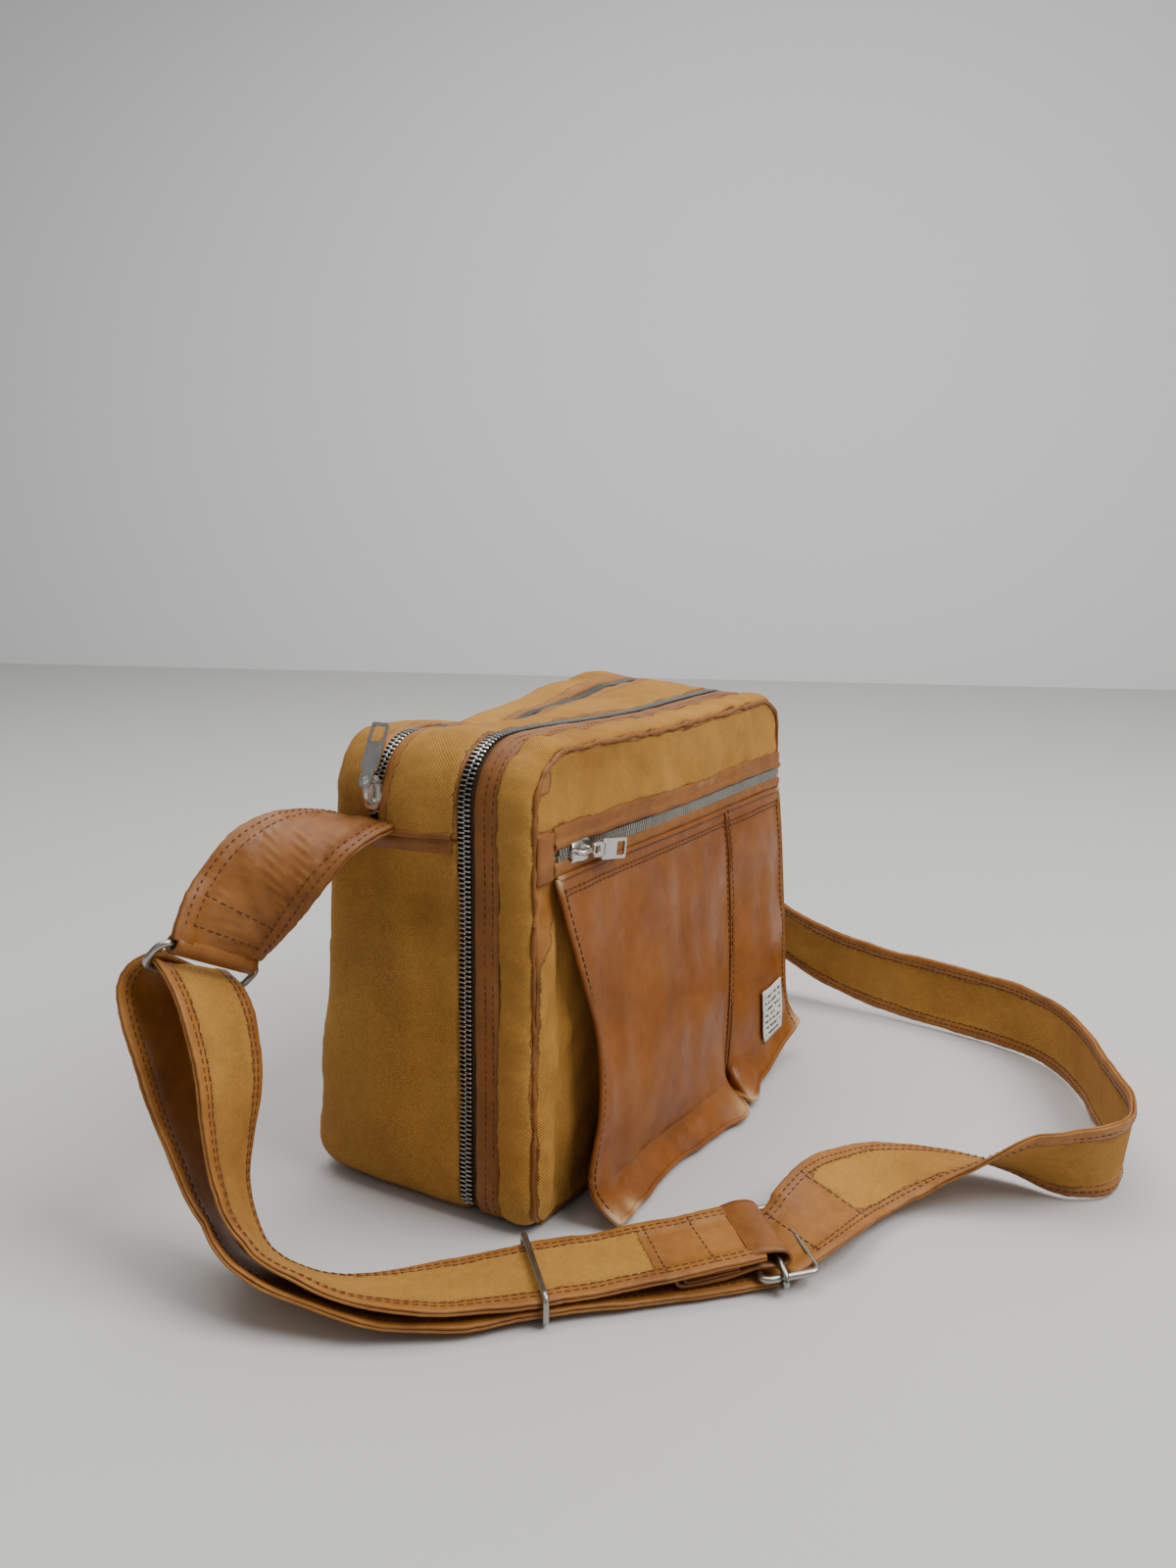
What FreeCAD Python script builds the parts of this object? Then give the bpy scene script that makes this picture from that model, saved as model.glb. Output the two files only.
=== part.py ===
import FreeCAD
import Part
import math
import os

# Soft shoulder bag with a front compartment that opens round a perimeter zip, a bellows pocket, a top
# zip and one adjustable strap. Millimetres, +Z up, the front faces -Y. The origin is on the floor,
# under the middle of the bag's base.

os.makedirs("parts", exist_ok=True)
Vec = FreeCAD.Vector

# ---- driving dimensions ----
bag_width = 256.0
bag_depth = 118.0
bag_height = 210.0
top_radius = 26.0
base_radius = 14.0
canvas = 2.0
seam_gap = 0.35
split_y = -27.0
side_seam_z = 170.0
top_zip_y = 20.0
flap_half_width = 100.0
front_zip_z = 164.0
pocket_top_z = 155.0
pocket_divider_x = 57.0
tooth_height = 2.8
tooth_width = 2.2
strap_width = 40.0
strap_thick = 3.0
tab_width = 44.0
wire_radius = 1.5
slider_length = 15.0
pull_length = 27.0
pull_width = 9.0
pull_thick = 1.2

half_width = bag_width / 2
corner_z = bag_height - top_radius
front_y = -bag_depth / 2
back_y = bag_depth / 2
rear_start_y = split_y + 3.5
front_edge_y = split_y - 3.5

nodes = {}


def keep(name, shape):
    """Store one sub-part and say how large it is."""
    nodes[name] = shape
    extent = shape.optimalBoundingBox()
    print(f"{name}: {len(shape.Solids)} solid(s), {shape.Volume / 1000:.2f} cm3, "
          f"valid {shape.isValid()}, z {extent.ZMin:.2f} to {extent.ZMax:.2f}")


def box(x0, x1, y0, y1, z0, z1):
    return Part.makeBox(x1 - x0, y1 - y0, z1 - z0, Vec(x0, y0, z0))


def prism_x(profile_yz, x0, x1):
    """Extrude a closed YZ polygon along X."""
    corners = [Vec(x0, y, z) for y, z in profile_yz]
    face = Part.Face(Part.makePolygon(corners + [corners[0]]))
    return face.extrude(Vec(x1 - x0, 0, 0))


def block(y0, y1, inset):
    """The bag's rounded front outline, moved inwards by inset, between two depths."""
    x = half_width - inset
    low = inset
    high = bag_height - inset
    top_r = top_radius - inset
    low_r = base_radius - inset
    k = math.sqrt(0.5)
    points = [Vec(-x + low_r, y0, low), Vec(x - low_r, y0, low), Vec(x, y0, low + low_r),
              Vec(x, y0, high - top_r), Vec(x - top_r, y0, high), Vec(-x + top_r, y0, high),
              Vec(-x, y0, high - top_r), Vec(-x, y0, low + low_r)]
    mid_low_right = Vec(x - low_r + k * low_r, y0, low + low_r - k * low_r)
    mid_top_right = Vec(x - top_r + k * top_r, y0, high - top_r + k * top_r)
    mid_top_left = Vec(-mid_top_right.x, y0, mid_top_right.z)
    mid_low_left = Vec(-mid_low_right.x, y0, mid_low_right.z)
    edges = [Part.LineSegment(points[0], points[1]).toShape(),
             Part.Arc(points[1], mid_low_right, points[2]).toShape(),
             Part.LineSegment(points[2], points[3]).toShape(),
             Part.Arc(points[3], mid_top_right, points[4]).toShape(),
             Part.LineSegment(points[4], points[5]).toShape(),
             Part.Arc(points[5], mid_top_left, points[6]).toShape(),
             Part.LineSegment(points[6], points[7]).toShape(),
             Part.Arc(points[7], mid_low_left, points[0]).toShape()]
    return Part.Face(Part.Wire(edges)).extrude(Vec(0, y1 - y0, 0))


def band(y0, y1, outer_inset, inner_inset):
    """A closed band round the bag's outline."""
    return block(y0, y1, outer_inset).cut(block(y0 - 1, y1 + 1, inner_inset))


far = 400.0


def above(z):
    return box(-far, far, -far, far, z, far)


def below(z):
    return box(-far, far, -far, far, -far, z)


# ---- main compartment ----
keep("back_panel", block(back_y - canvas, back_y, 0.0))
keep("main_gusset", band(rear_start_y, back_y - canvas, 0.0, canvas).common(below(side_seam_z)))
divider_inset = canvas + 1.2
keep("divider_panel", block(split_y + 0.9, split_y + 2.4, divider_inset))
keep("front_base", box(-half_width + base_radius, half_width - base_radius, front_y + canvas + 1.0,
                       split_y - 0.4, 0.0, canvas))

binding_z = 5.0
for side, sign in (("left", -1), ("right", 1)):
    x_in = sign * (half_width + 0.1)
    x_out = sign * (half_width + 1.0)
    keep(f"side_binding_{side}", box(min(x_in, x_out), max(x_in, x_out), rear_start_y + 0.5,
                                     back_y - 4.0, side_seam_z - binding_z, side_seam_z))

# ---- top closure: two strips joined by a zip ----
zip_half = tooth_width + 0.3
front_strip = band(rear_start_y + 0.2, top_zip_y - zip_half, 0.0, canvas)
rear_strip = band(top_zip_y + zip_half, back_y - canvas - 0.8, 0.0, canvas)
middle = box(-flap_half_width, flap_half_width, -far, far, bag_height / 2, far)
corner_keep = above(side_seam_z + seam_gap).cut(
    box(-flap_half_width - seam_gap, flap_half_width + seam_gap, -far, far, -far, far))
for name, strip in (("front", front_strip), ("rear", rear_strip)):
    keep(f"top_{name}_strip", strip.common(middle))
    keep(f"top_{name}_strip_ends", strip.common(corner_keep))

tooth_base = 1.9
tape_outer = canvas + 0.35
tape_inner = canvas + 1.15
row_low = seam_gap / 2
top_rows = {"front": (top_zip_y - tooth_width, top_zip_y - row_low),
            "rear": (top_zip_y + row_low, top_zip_y + tooth_width)}
top_tapes = {"front": (top_zip_y - 9.0, top_zip_y - row_low),
             "rear": (top_zip_y + row_low, top_zip_y + 9.0)}


def tooth_row(y0, y1):
    return band(y0, y1, tooth_base - tooth_height, tooth_base)


for name in ("front", "rear"):
    row = tooth_row(*top_rows[name])
    tape = band(*top_tapes[name], tape_outer, tape_inner)
    keep(f"top_zip_{name}_teeth", row.common(middle))
    keep(f"top_zip_{name}_tape", tape.common(middle))
zip_end_z = side_seam_z + 8.0
end_rows = tooth_row(*top_rows["front"]).fuse(tooth_row(*top_rows["rear"]))
keep("top_zip_end_teeth", end_rows.common(corner_keep).common(above(zip_end_z)))

# ---- front compartment: an open tray that hinges along its lower front edge ----
tray_low_z = canvas + 0.6
tray = above(tray_low_z)
piping_proud = 0.8
panel_inset = 1.8
slot_half = 3.6
slot_left_x = -half_width + 16.0
front_plate = block(front_y, front_y + canvas, panel_inset).common(tray)
slot = box(slot_left_x, half_width - 4.0, -far, 0.0, front_zip_z - slot_half, front_zip_z + slot_half)
front_plate = front_plate.cut(slot)
keep("front_panel_upper", front_plate.common(above(front_zip_z)))
keep("front_panel_lower", front_plate.common(below(front_zip_z)))
keep("front_piping", band(front_y - piping_proud, front_y + canvas - 0.1, -piping_proud,
                          panel_inset - 0.1).common(tray))
trim_skin = 0.8
keep("front_gusset", band(front_y + canvas, front_edge_y, trim_skin, canvas + trim_skin).common(tray))
keep("front_zip_trim", band(front_edge_y - 12.0, front_edge_y, 0.0, trim_skin - 0.05).common(tray))

# ---- perimeter zip ----
keep("perimeter_zip_front_teeth",
     tooth_row(split_y - tooth_width - 0.2, split_y - row_low).common(above(tray_low_z + 4.0)))
keep("perimeter_zip_rear_teeth",
     tooth_row(split_y + row_low, split_y + tooth_width + 0.2).common(above(tray_low_z + 4.0)))
keep("perimeter_zip_front_tape",
     band(split_y - 2.9, split_y - row_low, tape_outer - 0.4, tape_inner - 0.4).common(tray))
keep("perimeter_zip_rear_tape",
     band(split_y + row_low, split_y + 3.0, tape_outer - 0.4, tape_inner - 0.4).common(tray))

# ---- front zip and its bindings ----
row_y0 = front_y - 1.6
row_y1 = front_y + 1.0
row_x0 = slot_left_x + 4.0
row_x1 = half_width - 4.4
for name, sign in (("upper", 1), ("lower", -1)):
    z_in = front_zip_z + sign * row_low
    z_out = front_zip_z + sign * tooth_width
    keep(f"front_zip_{name}_teeth", box(row_x0, row_x1, row_y0, row_y1, min(z_in, z_out), max(z_in, z_out)))
    z_tape = front_zip_z + sign * 8.0
    keep(f"front_zip_{name}_tape", box(row_x0 - 2.0, row_x1, front_y + canvas + 0.2,
                                       front_y + canvas + 1.0, min(z_in, z_tape), max(z_in, z_tape)))
trim_y0 = front_y - 0.9
trim_y1 = front_y - 0.05
trim_top_z = front_zip_z + slot_half + 8.5
trim_low_z = pocket_top_z + seam_gap
end_tab_x = slot_left_x - 0.6
keep("front_zip_binding_upper", box(slot_left_x, half_width - 3.0, trim_y0, trim_y1,
                                    front_zip_z + slot_half, trim_top_z))
keep("front_zip_binding_lower", box(slot_left_x, half_width - 3.0, trim_y0, trim_y1, trim_low_z,
                                    front_zip_z - slot_half))
keep("front_zip_end_tab", box(-half_width + 3.0, end_tab_x, trim_y0, trim_y1, trim_low_z, trim_top_z))

# ---- bellows pockets in two bays ----
pocket_wall = 1.4
pocket_back_y = front_y - 0.2
pocket_bays = {"left": (-105.0, pocket_divider_x - 0.4, -86.0, 7.0),
               "right": (pocket_divider_x + 0.4, half_width - 4.0, -77.0, 13.0)}
for name, (x0, x1, lip_y, lip_z) in pocket_bays.items():
    wedge = [(pocket_back_y, 3.2), (pocket_back_y, pocket_top_z - 6.0), (lip_y, lip_z)]
    rise = pocket_wall * 1.1
    hollow = [(y - 3.0 * (y == lip_y), z + rise) for y, z in wedge]
    hollow.insert(2, (pocket_back_y - 5.0, pocket_top_z + 40.0))
    gusset = prism_x(wedge, x0, x1).cut(prism_x(hollow, x0 + pocket_wall, x1 - pocket_wall))
    keep(f"pocket_gusset_{name}", gusset)
    cover = [(pocket_back_y - 0.25, pocket_top_z), (lip_y - 0.25, lip_z - 1.0),
             (lip_y - 0.25 - pocket_wall, lip_z - 1.0), (pocket_back_y - 0.25 - pocket_wall, pocket_top_z)]
    keep(f"pocket_front_{name}", prism_x(cover, x0, x1))
label_x = 92.0
label_slope = (-77.0 - pocket_back_y) / (13.0 - pocket_top_z)


def right_cover_y(z):
    return pocket_back_y - 0.35 - pocket_wall + (z - pocket_top_z) * label_slope


keep("woven_label", prism_x([(right_cover_y(20.0), 20.0), (right_cover_y(50.0), 50.0),
                             (right_cover_y(50.0) - 0.6, 50.0), (right_cover_y(20.0) - 0.6, 20.0)],
                            label_x - 12.0, label_x + 12.0))

# ---- zip sliders and pulls, each made flat and then placed ----


def slider_body():
    """Slider with its nose towards +X, lying over the zip in the XY plane, top outwards in +Z."""
    nose = 3.4
    shoulder = 5.0
    half = slider_length / 2
    outline = [Vec(-half, -nose, 0), Vec(half - 4.0, -shoulder, 0), Vec(half, -nose, 0),
               Vec(half, nose, 0), Vec(half - 4.0, shoulder, 0), Vec(-half, nose, 0)]
    plate = Part.Face(Part.makePolygon(outline + [outline[0]])).extrude(Vec(0, 0, 1.3))
    bridge = box(-4.5, 4.5, -1.2, 1.2, 1.3, 4.2).cut(box(-2.7, 2.7, -3.0, 3.0, 1.3, 3.1))
    return plate.fuse(bridge)


pull_eye = 2.6


def pull_body():
    """Flat pull lying along +X from its pivot at the origin, with a slot near its far end."""
    arm = box(pull_eye - 1.2, 9.0, -2.2, 2.2, 0.0, pull_thick)
    blade = box(7.5, pull_length, -pull_width / 2, pull_width / 2, 0.0, pull_thick)
    window = box(9.5, pull_length - 8.0, -2.0, 2.0, -1.0, pull_thick + 1.0)
    return arm.fuse(blade).cut(window).removeSplitter()


def placed(shape, place, along, outward):
    """Put a flat-made piece at a place, with its +X along one direction and its +Z outwards."""
    x_axis = Vec(*along).normalize()
    z_axis = Vec(*outward).normalize()
    y_axis = z_axis.cross(x_axis)
    turn = FreeCAD.Matrix(x_axis.x, y_axis.x, z_axis.x, place[0], x_axis.y, y_axis.y, z_axis.y, place[1],
                          x_axis.z, y_axis.z, z_axis.z, place[2], 0, 0, 0, 1)
    moved = shape.copy()
    moved.transformShape(turn)
    return moved


ride_height = tooth_height - tooth_base + 0.35
slider_places = {
    "top": ((-half_width - ride_height, top_zip_y, corner_z + 2.0), (0, 0, 1), (-1, 0, 0), 4.0),
    "front": ((-93.0, row_y0 - 0.35, front_zip_z), (1, 0, 0), (0, -1, 0), 4.0),
    "perimeter": ((half_width + ride_height, split_y, 44.0), (0, 0, -1), (1, 0, 0), 4.0)}
pull_leans = {"top": (0.42, 0.0, 0.906), "front": (0.985, 0.0, -0.17), "perimeter": (0, 0, -1)}
for name, (place, along, outward, pivot_step) in slider_places.items():
    keep(f"{name}_zip_slider", placed(slider_body(), place, along, outward))
    pivot = [place[i] + along[i] * pivot_step + outward[i] * 4.6 for i in range(3)]
    lean = pull_leans[name]
    dot = sum(lean[i] * outward[i] for i in range(3))
    face_out = [outward[i] - dot * lean[i] for i in range(3)]
    keep(f"{name}_zip_pull", placed(pull_body(), pivot, lean, face_out))
    print(f"  {name} pull pivot {[round(v, 2) for v in pivot]}")

# ---- strap: flat webbing made as ribbons that follow a route ----
# Each station holds the middle of the strap and the direction from its outer edge to its inner edge.


def unit(v):
    return Vec(*v).normalize()


ring_axis = unit((0.88, -0.12, -0.45))
lift = Vec(0.05, -0.55, 0.83)
ring_up = (lift - ring_axis * lift.dot(ring_axis)).normalize()
ring_reach = 14.0
strap_bar = Vec(-197.0, 60.0, 115.0)
tab_bar = strap_bar + ring_up * ring_reach
adjuster_middle = Vec(-86.0, -151.0, 8.0)
adjuster_across = unit((0.7, 0.7, 0.05))
adjuster_lead = unit((0.72, -0.69, 0.05))
adjuster_along = unit(adjuster_lead - adjuster_across * adjuster_lead.dot(adjuster_across))

tab_end = tab_bar + ring_up * 2.4
tab_route = [((-129.6, 28, 172.6), (0, -1, 0)), ((-148, 28, 173), (0.12, -0.98, -0.15)),
             ((-168, 35, 163), (0.35, -0.9, -0.25)), ((-183, 43, 147), (0.62, -0.68, -0.38)),
             ((tab_end.x, tab_end.y, tab_end.z), (0.88, -0.12, -0.45))]
upper_route = [((-197, 60, 120), (0.88, -0.12, -0.45)), ((-199, 48, 116), (0.92, -0.05, -0.4)),
               ((-202, 36, 96), (0.95, 0.09, -0.3)), ((-207, 29, 70), (0.96, 0.24, -0.14)),
               ((-212, 27, 40), (0.82, 0.48, -0.3)), ((-216, 12, 20), (0.7, 0.48, -0.52)),
               ((-212, -11, 13), (0.74, 0.4, -0.5)), ((-203, -34, 10), (0.8, 0.45, -0.3)),
               ((-186, -57, 9), (0.75, 0.62, -0.1)), ((-159, -81, 8.6), (0.71, 0.7, 0)),
               ((-137, -103, 9.8), (0.71, 0.7, 0)), ((-116, -124, 12.8), (0.7, 0.71, 0)),
               ((-94, -144, 14.6), (0.71, 0.7, 0))]
lower_route = [((-197, 60, 120), (0.88, -0.12, -0.45)), ((-202, 73, 116), (0.9, -0.1, -0.42)),
               ((-205, 71, 100), (0.93, 0.0, -0.37)), ((-208, 60, 78), (0.96, 0.15, -0.2)),
               ((-212, 46, 48), (0.88, 0.42, -0.22)), ((-218, 30, 24), (0.72, 0.48, -0.5)),
               ((-220, 8, 12), (0.72, 0.46, -0.45)), ((-210, -18, 8), (0.78, 0.42, -0.3)),
               ((-199, -41, 5), (0.8, 0.5, -0.1)), ((-181, -62, 3.8), (0.74, 0.66, 0)),
               ((-158, -82, 4.6), (0.71, 0.7, 0)), ((-136, -104, 3.4), (0.71, 0.7, 0)),
               ((-115, -125, 2.7), (0.71, 0.7, 0)), ((-99, -140, 2.6), (0.71, 0.7, 0)),
               ((-88, -150, 3.4), (0.71, 0.7, 0.03))]
fold_route = [((-119, -121, 7.6), (0.71, 0.7, 0)), ((-108, -131, 8.0), (0.71, 0.7, 0)),
              ((-97, -142, 8.9), (0.71, 0.7, 0))]
right_route = [((-88, -150, 3.4), (0.71, 0.7, 0.03)), ((-74, -160, 11.5), (0.68, 0.72, 0.1)),
               ((-55, -163, 15), (0.62, 0.73, 0.2)), ((-32, -166, 13.5), (0.6, 0.72, 0.28)),
               ((-4, -178, 12), (0.72, 0.66, 0.12)),
               ((12, -200, 14), (0.76, 0.6, -0.25)), ((21, -224, 18), (0.54, 0.56, -0.62)),
               ((24, -250, 21), (0.25, 0.22, -0.94)), ((42, -268, 21.5), (0.1, 0.12, -0.98)),
               ((70, -266, 21.5), (0.12, 0.1, -0.98)), ((105, -251, 21.5), (0.2, 0.05, -0.97)),
               ((150, -232, 21.5), (0.2, 0.04, -0.97)), ((183, -208, 21.5), (0.1, 0.03, -0.98)),
               ((199, -172, 21.5), (-0.05, 0, -1)), ((204, -130, 22), (-0.05, 0.05, -1)),
               ((206, -88, 26), (0.1, 0.2, -0.97)), ((208, -54, 35), (0.25, 0.35, -0.9)),
               ((205, -26, 49), (0.35, 0.5, -0.79)), ((200, 0, 75), (0.35, 0.75, -0.56)),
               ((190, 20, 115), (0.25, 0.93, -0.25)), ((166, 28, 154), (0.1, 0.99, -0.05)),
               ((130.2, 28, 172.2), (0, 1, 0))]
arc_share = 0.45


def stations(route):
    """Sample straight runs joined by tangent arcs, with the strap's cross direction at each sample."""
    points = [Vec(*p) for p, _ in route]
    across = [unit(w) for _, w in route]
    runs = [(points[i + 1] - points[i]).Length for i in range(len(points) - 1)]
    samples = [(points[0], across[0])]
    radii = []
    for i in range(1, len(points) - 1):
        back = (points[i - 1] - points[i]).normalize()
        ahead = (points[i + 1] - points[i]).normalize()
        reach = arc_share * min(runs[i - 1], runs[i])
        half_turn = (math.pi - back.getAngle(ahead)) / 2
        radii.append(reach / math.tan(half_turn))
        start = points[i] + back * reach
        end = points[i] + ahead * reach
        inward = (back + ahead).normalize()
        middle_point = points[i] + inward * radii[-1] * (1 / math.cos(half_turn) - 1)
        before = across[i] + (across[i - 1] - across[i]) * (reach / runs[i - 1])
        after = across[i] + (across[i + 1] - across[i]) * (reach / runs[i])
        samples += [(start, before), (middle_point, across[i]), (end, after)]
    samples.append((points[-1], across[-1]))
    return samples, radii


def ribbon(name, route, width, thick):
    """A flat closed solid: rectangles square to the route, joined by ruled faces."""
    samples, radii = stations(route)
    wires = []
    length = sum((samples[i + 1][0] - samples[i][0]).Length for i in range(len(samples) - 1))
    for i, (middle_point, cross) in enumerate(samples):
        before = samples[max(i - 1, 0)][0]
        after = samples[min(i + 1, len(samples) - 1)][0]
        along = (after - before).normalize()
        side = (cross - along * cross.dot(along)).normalize() * (width / 2)
        up = side.cross(along).normalize() * (thick / 2)
        ring = [middle_point - side - up, middle_point + side - up,
                middle_point + side + up, middle_point - side + up]
        wires.append(Part.makePolygon(ring + [ring[0]]))
    solid = Part.makeLoft(wires, True, True)
    radius_text = ", ".join(f"{r:.0f}" for r in radii)
    print(f"  {name}: length {length:.0f}, radii {radius_text}, "
          f"volume {solid.Volume / 1000:.2f} against {length * width * thick / 1000:.2f} cm3")
    return solid


tab_strip = ribbon("left_tab", tab_route, tab_width, strap_thick + 1.0)
sleeve_half = 18.0
sleeve_start = tab_bar - ring_axis * sleeve_half
sleeve = Part.makeCylinder(wire_radius + 2.3, 2 * sleeve_half, sleeve_start, ring_axis)
sleeve_bore = Part.makeCylinder(wire_radius + 0.4, 4 * sleeve_half, tab_bar - ring_axis * 2 * sleeve_half,
                                ring_axis)
keep("left_tab", tab_strip.fuse(sleeve).cut(sleeve_bore))
for name, route, thick in (("strap_upper_run", upper_route, strap_thick),
                           ("strap_lower_run", lower_route, strap_thick),
                           ("strap_right_run", right_route, strap_thick),
                           ("strap_end_fold", fold_route, strap_thick + 2.0)):
    keep(name, ribbon(name, route, strap_width, thick))


def wire_loop(middle_point, half_a, half_b, corner, radius):
    """A closed wire rectangle with rounded corners: half_a and half_b are its half sides as vectors."""
    a = half_a.Length
    b = half_b.Length
    u = half_a.normalize()
    v = half_b.normalize()
    k = corner * (1 - math.sqrt(0.5))

    def at(x, y):
        return middle_point + u * x + v * y

    start = at(a, 0)
    path = []
    last = start
    for sx, sy in ((1, 1), (-1, 1), (-1, -1), (1, -1)):
        first = at(sx * a, sy * (b - corner))
        second = at(sx * (a - corner), sy * b)
        if sx * sy < 0:
            first, second = second, first
        path.append(Part.LineSegment(last, first).toShape())
        path.append(Part.Arc(first, at(sx * (a - k), sy * (b - k)), second).toShape())
        last = second
    path.append(Part.LineSegment(last, start).toShape())
    section = Part.Wire(Part.makeCircle(radius, start, v))
    return Part.Wire(path).makePipeShell([section], True, False)


keep("tab_ring", wire_loop((strap_bar + tab_bar) * 0.5, ring_axis * 25.0, ring_up * (ring_reach / 2),
                           5.0, wire_radius))
keep("adjuster_frame", wire_loop(adjuster_middle, adjuster_across * 23.0, adjuster_along * 12.0,
                                 3.5, wire_radius))
keeper_along = unit((0.70, -0.71, 0.0))
keeper_up = Vec(0, 0, 1)
keeper_middle = Vec(-157.5, -81.5, 7.2)
keep("keeper_loop", wire_loop(keeper_middle, keeper_up.cross(keeper_along) * 23.0, keeper_up * 5.8,
                              3.0, 1.3))

for name, shape in nodes.items():
    shape.exportStep(f"parts/{name}.step")
whole = Part.makeCompound(list(nodes.values())).BoundBox
print(f"{len(nodes)} nodes, {whole.XMin:.1f}..{whole.XMax:.1f} x {whole.YMin:.1f}..{whole.YMax:.1f} x "
      f"{whole.ZMin:.1f}..{whole.ZMax:.1f} mm")
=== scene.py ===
import math
import bpy
import bmesh
import numpy as np
from mathutils import Matrix, Vector


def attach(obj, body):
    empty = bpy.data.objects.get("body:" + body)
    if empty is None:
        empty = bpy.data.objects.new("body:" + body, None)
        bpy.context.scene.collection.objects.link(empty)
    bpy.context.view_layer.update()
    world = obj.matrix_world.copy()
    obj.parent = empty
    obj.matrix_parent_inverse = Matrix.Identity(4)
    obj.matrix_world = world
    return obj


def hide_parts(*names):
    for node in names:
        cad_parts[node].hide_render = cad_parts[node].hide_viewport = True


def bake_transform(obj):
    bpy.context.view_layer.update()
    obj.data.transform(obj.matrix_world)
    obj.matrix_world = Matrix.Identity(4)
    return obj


# Worn canvas shoulder bag in metres: a deep rear compartment, a shallow front compartment behind a
# perimeter zip, a leather bellows pocket and one long adjustable strap. The front faces -Y.

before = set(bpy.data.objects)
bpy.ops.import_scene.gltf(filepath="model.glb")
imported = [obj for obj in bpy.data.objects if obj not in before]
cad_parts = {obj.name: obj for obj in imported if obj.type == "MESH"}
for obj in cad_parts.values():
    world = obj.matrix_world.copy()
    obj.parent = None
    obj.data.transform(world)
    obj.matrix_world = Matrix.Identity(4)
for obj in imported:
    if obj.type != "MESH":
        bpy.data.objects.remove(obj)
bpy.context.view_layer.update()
mm = 0.001

# The bag's outline, its sag and the noise that every soft piece shares.

halfWidth, height, topRadius, baseRadius = 0.128, 0.210, 0.026, 0.014
frontY, backY, splitY, topZipY, seamZ = -0.059, 0.059, -0.027, 0.020, 0.170
quarterBase, quarterTop = math.pi / 2 * baseRadius, math.pi / 2 * topRadius
baseRun = halfWidth - baseRadius
sideRun = height - topRadius - baseRadius
topRun = 2 * (halfWidth - topRadius)
halfGirth = baseRun + quarterBase + sideRun + quarterTop + topRun / 2
girth = 2 * halfGirth


def outline(s, inset=0.0):
    # Points and outward normals round the front outline, from the middle of the base up the left side.
    s = np.asarray(s, float) % girth
    right = s > halfGirth
    t = np.where(right, girth - s, s)
    a = np.clip((t - baseRun) / quarterBase, 0, 1) * math.pi / 2
    b = np.clip((t - baseRun - quarterBase - sideRun) / quarterTop, 0, 1) * math.pi / 2
    low = t < baseRun + quarterBase + sideRun / 2
    x = np.where(low, -np.minimum(t, baseRun) - baseRadius * np.sin(a),
                 -(halfWidth - topRadius) - topRadius * np.cos(b)
                 + np.clip(t - (halfGirth - topRun / 2), 0, None))
    up = baseRadius - baseRadius * np.cos(a) + np.clip(t - baseRun - quarterBase, 0, sideRun)
    z = np.where(low, up, height - topRadius + topRadius * np.sin(b)
                 - np.clip(baseRun + quarterBase + sideRun - t, 0, None))
    nx = np.where(low, -np.sin(a), -np.cos(b))
    nz = np.where(low, -np.cos(a), np.sin(b))
    sign = np.where(right, -1.0, 1.0)
    return (x - nx * inset) * sign, z - nz * inset, nx * sign, nz


def leftAt(z):
    # The distance round the outline to a height on the left side.
    return baseRun + quarterBase + z - baseRadius


def ease(t):
    t = np.clip(t, 0, 1)
    return t * t * (3 - 2 * t)


def hump(v, middle, wide):
    return np.exp(-((v - middle) / wide) ** 2)


def waves(p, size, seed, count=11):
    # Smooth seeded noise of about -1 to 1: a sum of plane waves.
    r = np.random.default_rng(seed)
    k = r.normal(size=(count, 3))
    k *= 2 * math.pi / size * r.uniform(0.6, 1.6, (count, 1)) / np.linalg.norm(k, axis=1)[:, None]
    return np.sin(np.asarray(p) @ k.T + r.uniform(0, 6.28, count)).sum(-1) / math.sqrt(count)


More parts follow.
